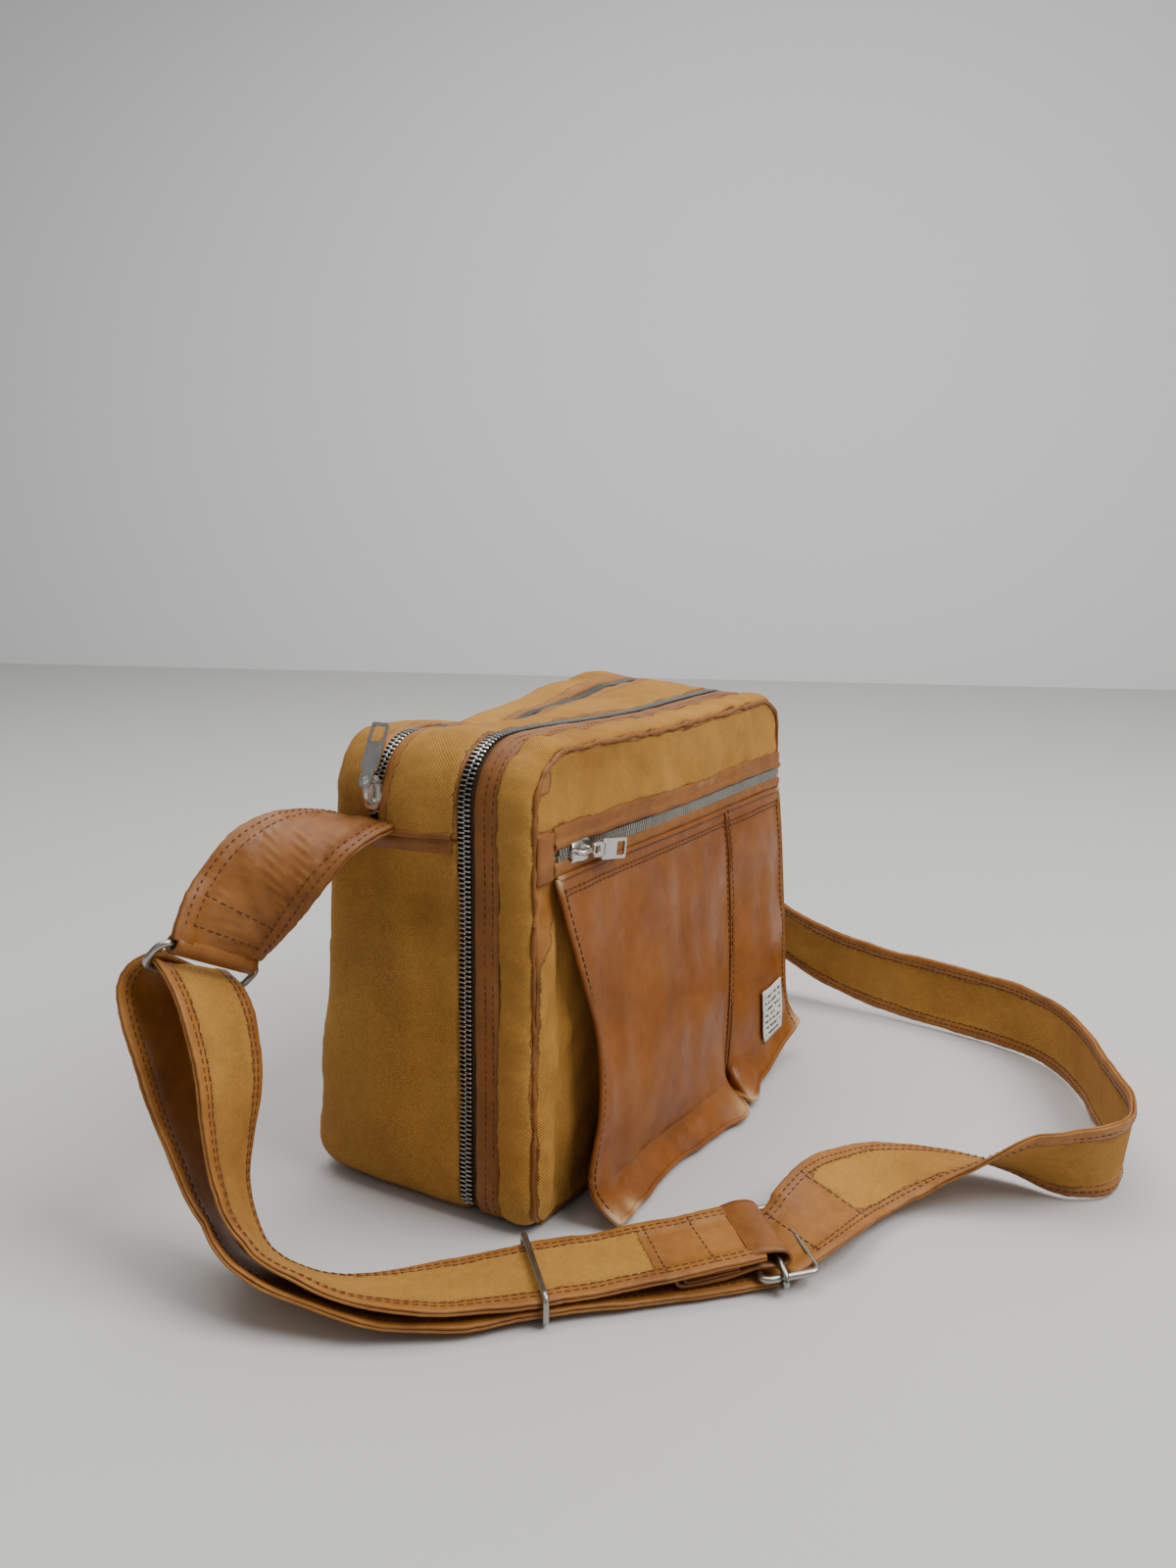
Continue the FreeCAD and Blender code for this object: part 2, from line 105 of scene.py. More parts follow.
def sag(p):
    # How the whole soft body leans, sinks and bulges; everything sewn to it moves the same way.
    p = np.array(p, float)
    x, y, z = p[..., 0].copy(), p[..., 1].copy(), p[..., 2].copy()
    rear = ease((y + 0.024) / 0.060)
    top = ease((z - 0.125) / 0.085)
    left = ease((-x - 0.070) / 0.055)
    side = ease((abs(x) - 0.085) / 0.043)
    back = ease((y - 0.020) / 0.038)
    p[..., 2] += top * rear * (-0.0085 * hump(x, -0.030, 0.048) + 0.0050 * hump(x, 0.088, 0.034)
                               - 0.0035 * hump(x, -0.128, 0.020))
    p[..., 2] += top * (1 - rear) * (0.0012 * hump(x, -0.085, 0.03) - 0.0016 * hump(x, 0.01, 0.05))
    p[..., 1] += back * (0.0040 * hump(z, 0.022, 0.035) - 0.0055 * hump(z, 0.140, 0.050))
    p[..., 1] -= back * top * left * 0.0100
    swell = hump(y, 0.022, 0.030) * side * np.sign(x)
    p[..., 0] += swell * (0.0042 * hump(z, 0.055, 0.042) - 0.0030 * hump(z, 0.135, 0.030))
    p[..., 0] += side * np.sign(x) * back * -0.0035 * hump(z, 0.105, 0.075)
    p[..., 1] -= (1 - rear) * 0.0016 * hump(z, 0.060, 0.050) * hump(x, 0, 0.1)
    slow = 0.0017 * waves(p, 0.060, 5) + 0.0014 * waves(p * [0, 1, 0.28], 0.030, 6) * hump(z, 0.115, 0.05)
    p[..., 0] += slow * side * ease((z - 0.01) / 0.03) * ease((y + 0.022) / 0.02) * np.sign(x)
    p[..., 0] -= 0.0030 * side * np.sign(x) * hump(y, -0.004, 0.013) * hump(z, 0.142, 0.020)
    topFolds = waves(p * [1, 0.5, 0], 0.032, 8) * ease((y + 0.020) / 0.015)
    p[..., 2] += 0.0011 * top * (abs(x) < 0.124) * topFolds
    return p


def through(points, t):
    # A smooth line through points at t from 0 to their count less one, along the first axis.
    points = np.asarray(points, float)
    n = len(points)
    t = np.clip(np.asarray(t, float), 0, n - 1)
    i = np.minimum(t.astype(int), n - 2)
    f = (t - i).reshape((-1,) + (1,) * (points.ndim - 1))
    a, b = points[i], points[i + 1]
    before = np.where((i > 0).reshape(f.shape), points[np.maximum(i - 1, 0)], 2 * a - b)
    after = np.where((i < n - 2).reshape(f.shape), points[np.minimum(i + 2, n - 1)], 2 * b - a)
    ma, mb = (b - before) / 2, (after - a) / 2
    return ((2 * f**3 - 3 * f**2 + 1) * a + (f**3 - 2 * f**2 + f) * ma
            + (3 * f**2 - 2 * f**3) * b + (f**3 - f**2) * mb)


def gridNormals(p):
    # Unit normals of a grid of points, from its neighbours.
    n = np.cross(np.gradient(p, axis=0), np.gradient(p, axis=1))
    return n / np.maximum(np.linalg.norm(n, axis=-1, keepdims=True), 1e-12)


# Materials.


class Tree:
    # A short way to write shader nodes.

    def __init__(self, name, roughness=0.5, metallic=0.0):
        self.mat = bpy.data.materials.new(name)
        self.mat.use_nodes = True
        self.nodes = self.mat.node_tree.nodes
        self.links = self.mat.node_tree.links
        self.shader = self.nodes["Principled BSDF"]
        self.shader.inputs["Roughness"].default_value = roughness
        self.shader.inputs["Metallic"].default_value = metallic

    def add(self, kind, values=None, **settings):
        node = self.nodes.new(kind)
        for key, value in settings.items():
            setattr(node, key, value)
        for key, value in (values or {}).items():
            if isinstance(value, bpy.types.NodeSocket):
                self.links.new(value, node.inputs[key])
            else:
                node.inputs[key].default_value = value
        return node

    def maths(self, operation, a, b=0.0, c=0.0):
        return self.add("ShaderNodeMath", {0: a, 1: b, 2: c}, operation=operation).outputs[0]

    def coords(self):
        return self.add("ShaderNodeTexCoord").outputs["Object"]

    def noise(self, scale, detail=3.0, rough=0.55, vector=None):
        values = {"Scale": scale, "Detail": detail, "Roughness": rough,
                  "Vector": vector or self.coords()}
        return self.add("ShaderNodeTexNoise", values).outputs["Fac"]

    def ramp(self, fac, stops):
        node = self.add("ShaderNodeValToRGB", {"Fac": fac})
        node.color_ramp.elements[0].position, node.color_ramp.elements[0].color = stops[0]
        node.color_ramp.elements[1].position, node.color_ramp.elements[1].color = stops[-1]
        for at, colour in stops[1:-1]:
            node.color_ramp.elements.new(at).color = colour
        return node.outputs["Color"]

    def mix(self, fac, a, b, blend="MIX"):
        node = self.add("ShaderNodeMix", data_type="RGBA", blend_type=blend)
        for key, value in ((0, fac), (6, a), (7, b)):
            if isinstance(value, bpy.types.NodeSocket):
                self.links.new(value, node.inputs[key])
            else:
                node.inputs[key].default_value = value
        return node.outputs[2]

    def bump(self, heightSocket, strength, distance, after=None):
        values = {"Height": heightSocket, "Strength": strength, "Distance": distance}
        if after:
            values["Normal"] = after
        return self.add("ShaderNodeBump", values).outputs["Normal"]

    def out(self, **sockets):
        for key, value in sockets.items():
            target = self.shader.inputs[key.replace("_", " ")]
            if isinstance(value, bpy.types.NodeSocket):
                self.links.new(value, target)
            else:
                target.default_value = value
        return self.mat


def grey(v):
    return (v, v, v, 1.0)


tanDark, tanMid, tanLight = (0.200, 0.070, 0.014, 1), (0.325, 0.125, 0.022, 1), (0.440, 0.190, 0.042, 1)
mustardDark, mustard = (0.330, 0.150, 0.026, 1), (0.540, 0.262, 0.045, 1)
mustardLight, rubbedPale = (0.640, 0.340, 0.075, 1), (0.56, 0.36, 0.17, 1)


def leatherLook(t):
    # Tan resin coat: blotchy colour, rubbed highlights, fine grain and creases.
    blotch = t.noise(26.0, 4.0, 0.6)
    colour = t.ramp(blotch, [(0.28, tanDark), (0.50, tanMid), (0.76, tanLight)])
    fine = t.noise(150.0, 4.0, 0.7)
    colour = t.mix(0.35, colour, t.ramp(fine, [(0.30, tanDark), (0.70, tanLight)]))
    creases = t.add("ShaderNodeTexVoronoi", {"Scale": 95.0, "Vector": t.coords()},
                    feature="DISTANCE_TO_EDGE").outputs["Distance"]
    crease = t.add("ShaderNodeMapRange", {"Value": creases, "From Min": 0.0, "From Max": 0.09}).outputs[0]
    grain = t.bump(t.noise(1400.0, 2.0), 0.16, 0.0002)
    normal = t.bump(crease, 0.10, 0.0003, grain)
    normal = t.bump(t.noise(60.0, 5.0, 0.62), 0.42, 0.0013, normal)
    rough = t.add("ShaderNodeMapRange", {"Value": t.noise(45.0, 3.0), "From Min": 0.3, "From Max": 0.7,
                                         "To Min": 0.40, "To Max": 0.62}).outputs[0]
    return colour, normal, rough


def canvasLook(t):
    # Matte mustard canvas: a coarse twill, slubs, random patches of dirt, painted shade in the weave's hollows and
    # painted highlight on its crests.
    uv = t.add("ShaderNodeSeparateXYZ", {0: t.add("ShaderNodeUVMap").outputs[0]})
    u, v = uv.outputs[0], uv.outputs[1]
    wobble = t.maths("MULTIPLY", t.noise(320.0, 2.0), 1.6)
    warp = t.maths("SINE", t.maths("ADD", t.maths("MULTIPLY", t.maths("ADD", u, v), 5200.0), wobble))
    weft = t.maths("SINE", t.maths("ADD", t.maths("MULTIPLY", t.maths("SUBTRACT", u, v), 4100.0), wobble))
    weave = t.maths("ADD", t.maths("MULTIPLY", warp, 0.5), t.maths("MULTIPLY", weft, 0.3))
    patches = t.noise(17.0, 4.0, 0.58)
    colour = t.ramp(patches, [(0.25, mustardDark), (0.47, mustard), (0.80, mustardLight)])
    speckle = t.ramp(t.noise(420.0, 3.0, 0.7), [(0.3, mustardDark), (0.7, mustardLight)])
    colour = t.mix(0.30, colour, speckle)
    soil = t.ramp(t.noise(9.0, 5.0, 0.66), [(0.42, grey(1.0)), (0.66, (0.62, 0.52, 0.40, 1))])
    colour = t.mix(0.8, colour, soil, "MULTIPLY")
    # Painted shade in the weave's hollows and painted highlight on its crests, multiplied into the colour.
    hollowShade, crestHighlight = grey(0.66), grey(1.12)
    shade = t.ramp(t.maths("ADD", t.maths("MULTIPLY", weave, 0.5), 0.5), [(0.0, hollowShade), (1.0, crestHighlight)])
    colour = t.mix(0.9, colour, shade, "MULTIPLY")
    normal = t.bump(weave, 0.60, 0.0004, t.bump(t.noise(70.0, 4.0), 0.45, 0.0014))
    return colour, normal


def coatedCanvas(name, width, ragged):
    # Canvas whose tan coat survives near the seams; the attribute coat is the distance to the nearest
    # one.
    t = Tree(name, 0.9)
    tan, tanNormal, tanRough = leatherLook(t)
    cloth, clothNormal = canvasLook(t)
    far = t.add("ShaderNodeAttribute", attribute_name="coat").outputs["Fac"]

    def unevenness(noise, size):
        return t.maths("MULTIPLY", t.maths("SUBTRACT", noise, 0.5), size)

    tears = t.maths("ADD", unevenness(t.noise(190.0, 4.0, 0.68), 3.4 * ragged),
                    unevenness(t.noise(34.0, 2.0), 2.6 * ragged))
    fray = unevenness(t.noise(1100.0, 2.0, 0.7), 2.2 * mm)
    reach = t.maths("ADD", width, t.maths("ADD", fray, tears))
    gap = t.maths("SUBTRACT", far, reach)
    bare = t.add("ShaderNodeMapRange", {"Value": gap, "From Min": -0.00012, "From Max": 0.00012}).outputs[0]
    rim = t.add("ShaderNodeMapRange", {"Value": t.maths("ABSOLUTE", gap), "From Min": 0.0, "From Max": 0.0006,
                                       "To Min": 0.50, "To Max": 1.0}).outputs[0]
    colour = t.mix(bare, tan, cloth)
    shade = t.add("ShaderNodeCombineColor", {0: rim, 1: rim, 2: rim}).outputs[0]
    colour = t.mix(1.0, colour, shade, "MULTIPLY")
    normal = t.add("ShaderNodeMix", data_type="VECTOR")
    t.links.new(bare, normal.inputs[0])
    t.links.new(tanNormal, normal.inputs[4])
    t.links.new(clothNormal, normal.inputs[5])
    step = t.bump(t.maths("SUBTRACT", 1.0, bare), 0.8, 0.0006, normal.outputs[1])
    rough = t.add("ShaderNodeMix", {0: bare, 2: tanRough, 3: 0.93}).outputs[0]
    return t.out(Base_Color=colour, Normal=step, Roughness=rough, Specular_IOR_Level=0.35)


def leather(name, gloss, tint):
    t = Tree(name)
    colour, normal, rough = leatherLook(t)
    colour = t.mix(1.0, colour, tint, "MULTIPLY")
    rubbed = t.maths("MULTIPLY", t.add("ShaderNodeAttribute", attribute_name="rubbed").outputs["Fac"],
                     t.maths("ADD", 0.35, t.noise(240.0, 4.0, 0.7)))
    colour = t.mix(t.maths("MINIMUM", rubbed, 0.9), colour, rubbedPale)
    rough = t.maths("SUBTRACT", rough, gloss)
    return t.out(Base_Color=colour, Normal=normal, Roughness=rough, Specular_IOR_Level=0.34)


def metal(name, colour, rough):
    t, wear = Tree(name, rough, 1.0), 0.12
    spread = t.add("ShaderNodeMapRange", {"Value": t.noise(160.0, 4.0), "From Min": 0.3, "From Max": 0.7,
                                          "To Min": rough, "To Max": rough + wear}).outputs[0]
    tint = t.mix(t.noise(90.0, 3.0), colour, (colour[0] * 0.7, colour[1] * 0.68, colour[2] * 0.64, 1))
    return t.out(Base_Color=tint, Roughness=spread)


def clothTape(name, colour):
    t = Tree(name, 0.85)
    rib = t.noise(900.0, 2.0)
    tint = t.mix(t.noise(300.0, 3.0), colour, (colour[0] * 0.55, colour[1] * 0.5, colour[2] * 0.45, 1))
    return t.out(Base_Color=tint, Normal=t.bump(rib, 0.4, 0.0003))


def labelLook(name):
    # Off-white woven cloth with plain dark woven bars.
    t = Tree(name, 0.85)
    uv = t.add("ShaderNodeSeparateXYZ", {0: t.add("ShaderNodeUVMap").outputs[0]})
    u, v = uv.outputs[0], uv.outputs[1]
    rows = t.maths("GREATER_THAN", t.maths("FRACT", t.maths("MULTIPLY", v, 8.0)), 0.62)
    place = t.add("ShaderNodeCombineXYZ", {0: t.maths("MULTIPLY", u, 9.0), 1: t.maths("MULTIPLY", v, 8.0)})
    marks = t.maths("GREATER_THAN", t.noise(1.0, 2.0, 0.5, place.outputs[0]), 0.46)

    def within(value, reach):
        return t.maths("LESS_THAN", t.maths("ABSOLUTE", t.maths("SUBTRACT", value, 0.5)), reach)

    inside = t.maths("MULTIPLY", within(u, 0.40), within(v, 0.42))
    ink = t.maths("MULTIPLY", t.maths("MULTIPLY", rows, marks), inside)
    colour = t.mix(ink, (0.70, 0.68, 0.62, 1), (0.05, 0.045, 0.04, 1))
    return t.out(Base_Color=colour, Normal=t.bump(t.noise(1600.0, 2.0), 0.3, 0.0002))


strapCoat = 6.0 * mm
looks = {
    "body": coatedCanvas("canvas_body", 1.3 * mm, 1.1 * mm),
    "strap": coatedCanvas("canvas_strap", strapCoat, 1.5 * mm),
    "zipside": coatedCanvas("canvas_beside_zip", 6.5 * mm, 1.3 * mm),
    "tan": leather("leather_tan", 0.05, (0.74, 0.68, 0.68, 1)),
    "pocket": leather("leather_pocket", 0.10, (0.72, 0.56, 0.36, 1)),
    "trim": leather("leather_trim", 0.0, (0.78, 0.72, 0.70, 1)),
    "nickel": metal("nickel", (0.72, 0.71, 0.68, 1), 0.22),
    "tooth": metal("zip_tooth", (0.52, 0.51, 0.47, 1), 0.28),
    "steel": metal("steel_wire", (0.46, 0.44, 0.40, 1), 0.28),
    "tape": clothTape("zip_tape", (0.10, 0.052, 0.020, 1)),
    "pale": clothTape("zip_tape_front", (0.36, 0.25, 0.12, 1)),
    "thread": clothTape("thread", (0.125, 0.038, 0.010, 1)),
    "lining": clothTape("lining", (0.10, 0.075, 0.05, 1)),
    "label": labelLook("woven_label"),
}
print("materials done")

# Mesh making.


def newMesh(name, points, faces, look, uv=None, coat=None, smooth=True):
    # One object at the origin from points and faces, with metric UVs and the coat distance.
    mesh = bpy.data.meshes.new(name)
    points = np.array(points, float).reshape(-1, 3)
    if look != "stage" and points[:, 2].max() > 5 * mm:
        points[:, 2] = np.maximum(points[:, 2], 0.15 * mm)
    mesh.from_pydata(points.tolist(), [], faces.tolist() if isinstance(faces, np.ndarray) else faces)
    loops = np.zeros(len(mesh.loops), np.int32)
    mesh.loops.foreach_get("vertex_index", loops)
    if uv is not None:
        layer = mesh.uv_layers.new(name="UVMap")
        layer.data.foreach_set("uv", np.asarray(uv, float).reshape(-1, 2)[loops].ravel().astype(np.float32))
    if coat is not None:
        attribute = mesh.attributes.new("coat", "FLOAT", "POINT")
        attribute.data.foreach_set("value", np.asarray(coat, np.float32).ravel())
    mesh.materials.append(looks[look])
    mesh.polygons.foreach_set("use_smooth", np.full(len(mesh.polygons), smooth))
    mesh.update()
    if look != "stage":
        mesh.calc_loop_triangles()
        corners = np.array([t.vertices[:] for t in mesh.loop_triangles])
        a, b, c = (points[corners[:, k]] - points.mean(0) for k in range(3))
        if (np.cross(a, b) * c).sum() < 0:
            mesh.flip_normals()
    piece = bpy.data.objects.new(name, mesh)
    bpy.context.scene.collection.objects.link(piece)
    return piece


def quads(n, m, start=0, closed=False, flip=False):
    # Faces of an n by m grid of points.
    i, j = np.meshgrid(np.arange(n - 1), np.arange(m if closed else m - 1), indexing="ij")
    a = start + i * m + j
    b = start + i * m + (j + 1) % m
    c = start + (i + 1) * m + (j + 1) % m
    d = start + (i + 1) * m + j
    return np.stack([a, b, c, d] if flip else [a, d, c, b], -1).reshape(-1, 4)


def shell(name, p, uv, look, thick, coat=None, flip=False):
    # A sheet of cloth with thickness: the grid p is its outer face, and its rim is closed.
    n, m = p.shape[:2]
    normal = gridNormals(p) * (-1 if flip else 1)
    inner = p - normal * thick
    count = n * m
    faces = [quads(n, m, 0, False, flip), quads(n, m, count, False, not flip)]
    rim = np.concatenate([np.arange(m), np.arange(1, n) * m + m - 1,
                          (n - 1) * m + np.arange(m - 2, -1, -1), np.arange(n - 2, 0, -1) * m])
    nxt = np.roll(rim, -1)
    edge = np.stack([rim, nxt, nxt + count, rim + count], -1)
    faces.append(edge[:, ::-1] if flip else edge)
    both = None if coat is None else np.concatenate([coat.ravel(), coat.ravel()])
    points = np.concatenate([p.reshape(-1, 3), inner.reshape(-1, 3)])
    return newMesh(name, points, np.concatenate(faces), look, np.concatenate([uv.reshape(-1, 2)] * 2), both)


def tube(name, line, radius, look, sides=8):
    # A round rod along a line of points; radius may change along it.
    line = np.asarray(line, float)
    n = len(line)
    along = np.gradient(line, axis=0)
    along /= np.linalg.norm(along, axis=1, keepdims=True)
    side = np.cross(along, [0.13, 0.21, 0.97])
    weak = np.linalg.norm(side, axis=1) < 0.15
    side[weak] = np.cross(along[weak], [1.0, 0.0, 0.1])
    side /= np.linalg.norm(side, axis=1, keepdims=True)
    other = np.cross(along, side)
    a = np.linspace(0, 2 * math.pi, sides, endpoint=False)
    r = np.broadcast_to(np.asarray(radius, float), (n,))[:, None, None]
    circle = np.cos(a)[None, :, None] * side[:, None] + np.sin(a)[None, :, None] * other[:, None]
    p = line[:, None] + r * circle
    faces = quads(n, sides, 0, True, True).tolist()
    faces += [list(range(sides))[::-1], list(range((n - 1) * sides, n * sides))]
    travel = np.concatenate([[0], np.cumsum(np.linalg.norm(np.diff(p[:, 0], axis=0), axis=1))])
    uv = np.stack(np.broadcast_arrays(travel[:, None], (a * 0.002)[None, :]), -1)
    return newMesh(name, p, faces, look, uv)


def joined(name, pieces):
    # Several meshes as one object, keeping their materials, UVs and attributes.
    with bpy.context.temp_override(active_object=pieces[0], selected_editable_objects=pieces,
                                   object=pieces[0], selected_objects=pieces):
        bpy.ops.object.join()
    pieces[0].name = name
    pieces[0].data.name = name
    return pieces[0]


def bandGrid(s0, s1, step, profile, extra=None):
    # A strip round the outline: profile lists (y, inset) across it. Returns points, UVs, s and across.
    s = np.linspace(s0, s1, max(3, int(abs(s1 - s0) / step) + 1))
    profile = np.asarray(profile, float)
    across = np.concatenate([[0], np.cumsum(np.linalg.norm(np.diff(profile, axis=0), axis=1))])
    n = max(3, int(across[-1] / step) + 1)
    at = np.linspace(0, across[-1], n)
    y, inset = np.interp(at, across, profile[:, 0]), np.interp(at, across, profile[:, 1])
    ss, ys = np.meshgrid(s, y, indexing="ij")
    at = np.broadcast_to(at, ss.shape)
    x, z, nx, nz = outline(ss, np.broadcast_to(inset, ss.shape))
    if extra is not None:
        more = extra(ss, ys, at, across[-1], np.stack([x, ys, z], -1))
        x, z = x + nx * more, z + nz * more
    return np.stack([x, ys, z], -1), np.stack([ss, at], -1), ss, at


def roundEdge(y, radius, toInset):
    # Profile points that turn a band's edge at depth y over to the face, as a quarter circle.
    turn = np.linspace(0, math.pi / 2, 7)
    return [(y + radius * (math.sin(t) - 1), toInset * (1 - math.cos(t))) for t in turn]


# Camera, floor and light.

camData = bpy.data.cameras.new("camera")
camData.lens, camData.sensor_width = 28.37, 36.0
cam = bpy.data.objects.new("camera", camData)
bpy.context.scene.collection.objects.link(cam)
yaw, pitch, roll = math.radians(-59.161), math.radians(11.081), math.radians(0.777)
look = Vector((math.cos(pitch) * -math.sin(yaw), math.cos(pitch) * math.cos(yaw), -math.sin(pitch)))
sideways = look.cross(Vector((0, 0, 1))).normalized()
upright = sideways.cross(look)
c, s = math.cos(roll), math.sin(roll)
right, up = sideways * c + upright * s, upright * c - sideways * s
turn = Matrix((right, up, -look)).transposed().to_4x4()
cam.matrix_world = Matrix.Translation((-0.52576, -0.32305, 0.29140)) @ turn
bpy.context.scene.camera = cam

underBag = -0.6 * mm
stage = {
    "floor": {"roughness": 0.55, "colour": (0.60, 0.59, 0.575, 1),
              "corners": [(-4, -4, underBag), (4, -4, underBag), (4, 4, underBag), (-4, 4, underBag)]},
    "backdrop": {"roughness": 0.9, "colour": (0.88, 0.88, 0.87, 1),
                 "corners": [(0.2, 4.4, -0.01), (3.6, -2.6, -0.01), (3.6, -2.6, 4), (0.2, 4.4, 4)]},
}
for name, spec in stage.items():
    looks["stage"] = Tree(f"stage_{name}", spec["roughness"]).out(Base_Color=spec["colour"])
    newMesh(name, spec["corners"], [[0, 1, 2, 3]], "stage", smooth=False)
lamps = {"key": ((0.25, -1.35, 1.75), 1.3, 46.0), "fill": ((-1.4, 0.1, 1.5), 1.6, 2.5),
         "top": ((0.2, 0.4, 1.9), 1.6, 27.0)}
for name, (place, size, power) in lamps.items():
    lamp = bpy.data.lights.new(name, "AREA")
    lamp.energy, lamp.size = power, size
    holder = bpy.data.objects.new(name, lamp)
    holder.location = place
    holder.rotation_euler = (Vector((0, 0, 0.08)) - Vector(place)).to_track_quat("-Z", "Y").to_euler()
    bpy.context.scene.collection.objects.link(holder)
world = bpy.data.worlds.new("world")
world.use_nodes = True
background = world.node_tree.nodes["Background"]
background.inputs["Color"].default_value = (0.86, 0.87, 0.89, 1)
background.inputs["Strength"].default_value = 0.26
bpy.context.scene.world = world
print("camera and light done")

# The strap: webbing ribbons that follow one smooth line each.

routes = {
    "strap_upper": {"border": 7.0, "tan": (-1.0, 0.044), "points": [
        (-197, 60, 120, .88, -.12, -.45), (-199, 48, 116, .92, -.05, -.4), (-202, 36, 96, .95, .09, -.3),
        (-207, 29, 70, .96, .24, -.14), (-212, 27, 40, .82, .48, -.3), (-216, 12, 20, .7, .48, -.52),
        (-212, -11, 13, .74, .4, -.5), (-203, -34, 10, .8, .45, -.3), (-186, -57, 9, .75, .62, -.1),
        (-159, -81, 8.6, .71, .7, 0), (-137, -103, 9.8, .71, .7, 0), (-116, -124, 12.8, .7, .71, 0),
        (-94, -144, 14.6, .71, .7, 0)]},
    "strap_lower": {"border": 7.0, "tan": (-1.0, -1.0), "points": [
        (-197, 60, 120, .88, -.12, -.45), (-202, 73, 116, .9, -.1, -.42), (-205, 71, 100, .93, 0, -.37),
        (-208, 60, 78, .96, .15, -.2), (-212, 46, 48, .88, .42, -.22), (-218, 30, 24, .72, .48, -.5),
        (-220, 8, 12, .72, .46, -.45), (-210, -18, 8, .78, .42, -.3), (-199, -41, 5, .8, .5, -.1),
        (-181, -62, 3.8, .74, .66, 0), (-158, -82, 4.6, .71, .7, 0), (-136, -104, 3.4, .71, .7, 0),
        (-115, -125, 2.7, .71, .7, 0), (-99, -140, 2.6, .71, .7, 0), (-88, -150, 3.4, .71, .7, .03)]},
    "strap_right": {"border": 5.0, "tan": (0.046, -1.0), "points": [
        (-88, -150, 3.4, .71, .7, .03), (-74, -160, 11.5, .68, .72, .1), (-55, -163, 15, .62, .73, .2),
        (-32, -166, 13.5, .6, .72, .28), (-4, -178, 12, .72, .66, .12), (12, -200, 14, .76, .6, -.25),
        (21, -224, 18, .54, .56, -.62), (24, -250, 21, .25, .22, -.94), (42, -268, 21.5, .1, .12, -.98),
        (70, -266, 21.5, .12, .1, -.98), (105, -251, 21.5, .2, .05, -.97), (150, -232, 21.5, .2, .04, -.97),
        (183, -208, 21.5, .1, .03, -.98), (199, -172, 21.5, -.05, 0, -1), (204, -130, 22, -.05, .05, -1),
        (206, -88, 26, .1, .2, -.97), (208, -54, 35, .25, .35, -.9), (205, -26, 49, .35, .5, -.79),
        (200, 0, 75, .35, .75, -.56), (190, 20, 115, .25, .93, -.25), (166, 28, 154, .1, .99, -.05),
        (130.2, 28, 172.2, 0, 1, 0)]},
}
guides = {}


def splineLine(points, step):
    # Evenly spaced points along a smooth curve that has these control points.
    curve = bpy.data.curves.new("route", "CURVE")
    curve.dimensions = "3D"
    spline = curve.splines.new("NURBS")
    spline.points.add(len(points) - 1)
    for point, place in zip(spline.points, points):
        point.co = (*place, 1.0)
    spline.order_u = 3
    spline.use_endpoint_u = True
    curve.resolution_u = 24
    holder = bpy.data.objects.new("route", curve)
    mesh = bpy.data.meshes.new_from_object(holder)
    line = np.array([v.co for v in mesh.vertices], float)
    bpy.data.meshes.remove(mesh)
    bpy.data.objects.remove(holder)
    bpy.data.curves.remove(curve)
    travel = np.concatenate([[0], np.cumsum(np.linalg.norm(np.diff(line, axis=0), axis=1))])
    at = np.linspace(0, travel[-1], int(travel[-1] / step) + 2)
    return np.stack([np.interp(at, travel, line[:, k]) for k in range(3)], 1), at


def ribbonFrame(points, step):
    # The ribbon's middle line, its distance along it, cross directions and upward directions.
    points = np.asarray(points, float)
    line, travel = splineLine(points[:, :3] * mm, step)
    legs = np.concatenate([[0], np.cumsum(np.linalg.norm(np.diff(points[:, :3], axis=0), axis=1))])
    at = travel / travel[-1] * legs[-1]
    cross = np.stack([np.interp(at, legs, points[:, k]) for k in (3, 4, 5)], 1)
    along = np.gradient(line, axis=0)
    along /= np.linalg.norm(along, axis=1, keepdims=True)
    cross -= along * (cross * along).sum(1, keepdims=True)
    cross /= np.linalg.norm(cross, axis=1, keepdims=True)
    return line, travel, cross, np.cross(along, cross)


def ripple(probe, seed, wrinkle, w):
    # How far a ribbon's face rises: slow waves, and sharp cross wrinkles in its middle where asked for.
    h = 0.14 * mm * waves(probe, 0.018, seed + 1) + 0.25 * mm * waves(probe * [1, 0, 0], 0.05, seed + 2)
    if wrinkle:
        slant = -2.0
        bent = (probe[..., :1] + slant * probe[..., 1:2]) * [1, 0, 0]
        sharp = 1 - 2 * abs(waves(bent, 0.0085, seed + 3, 7))
        h = h + wrinkle * sharp * ease((0.36 * w - abs(probe[..., 1])) / (0.16 * w))
    return h


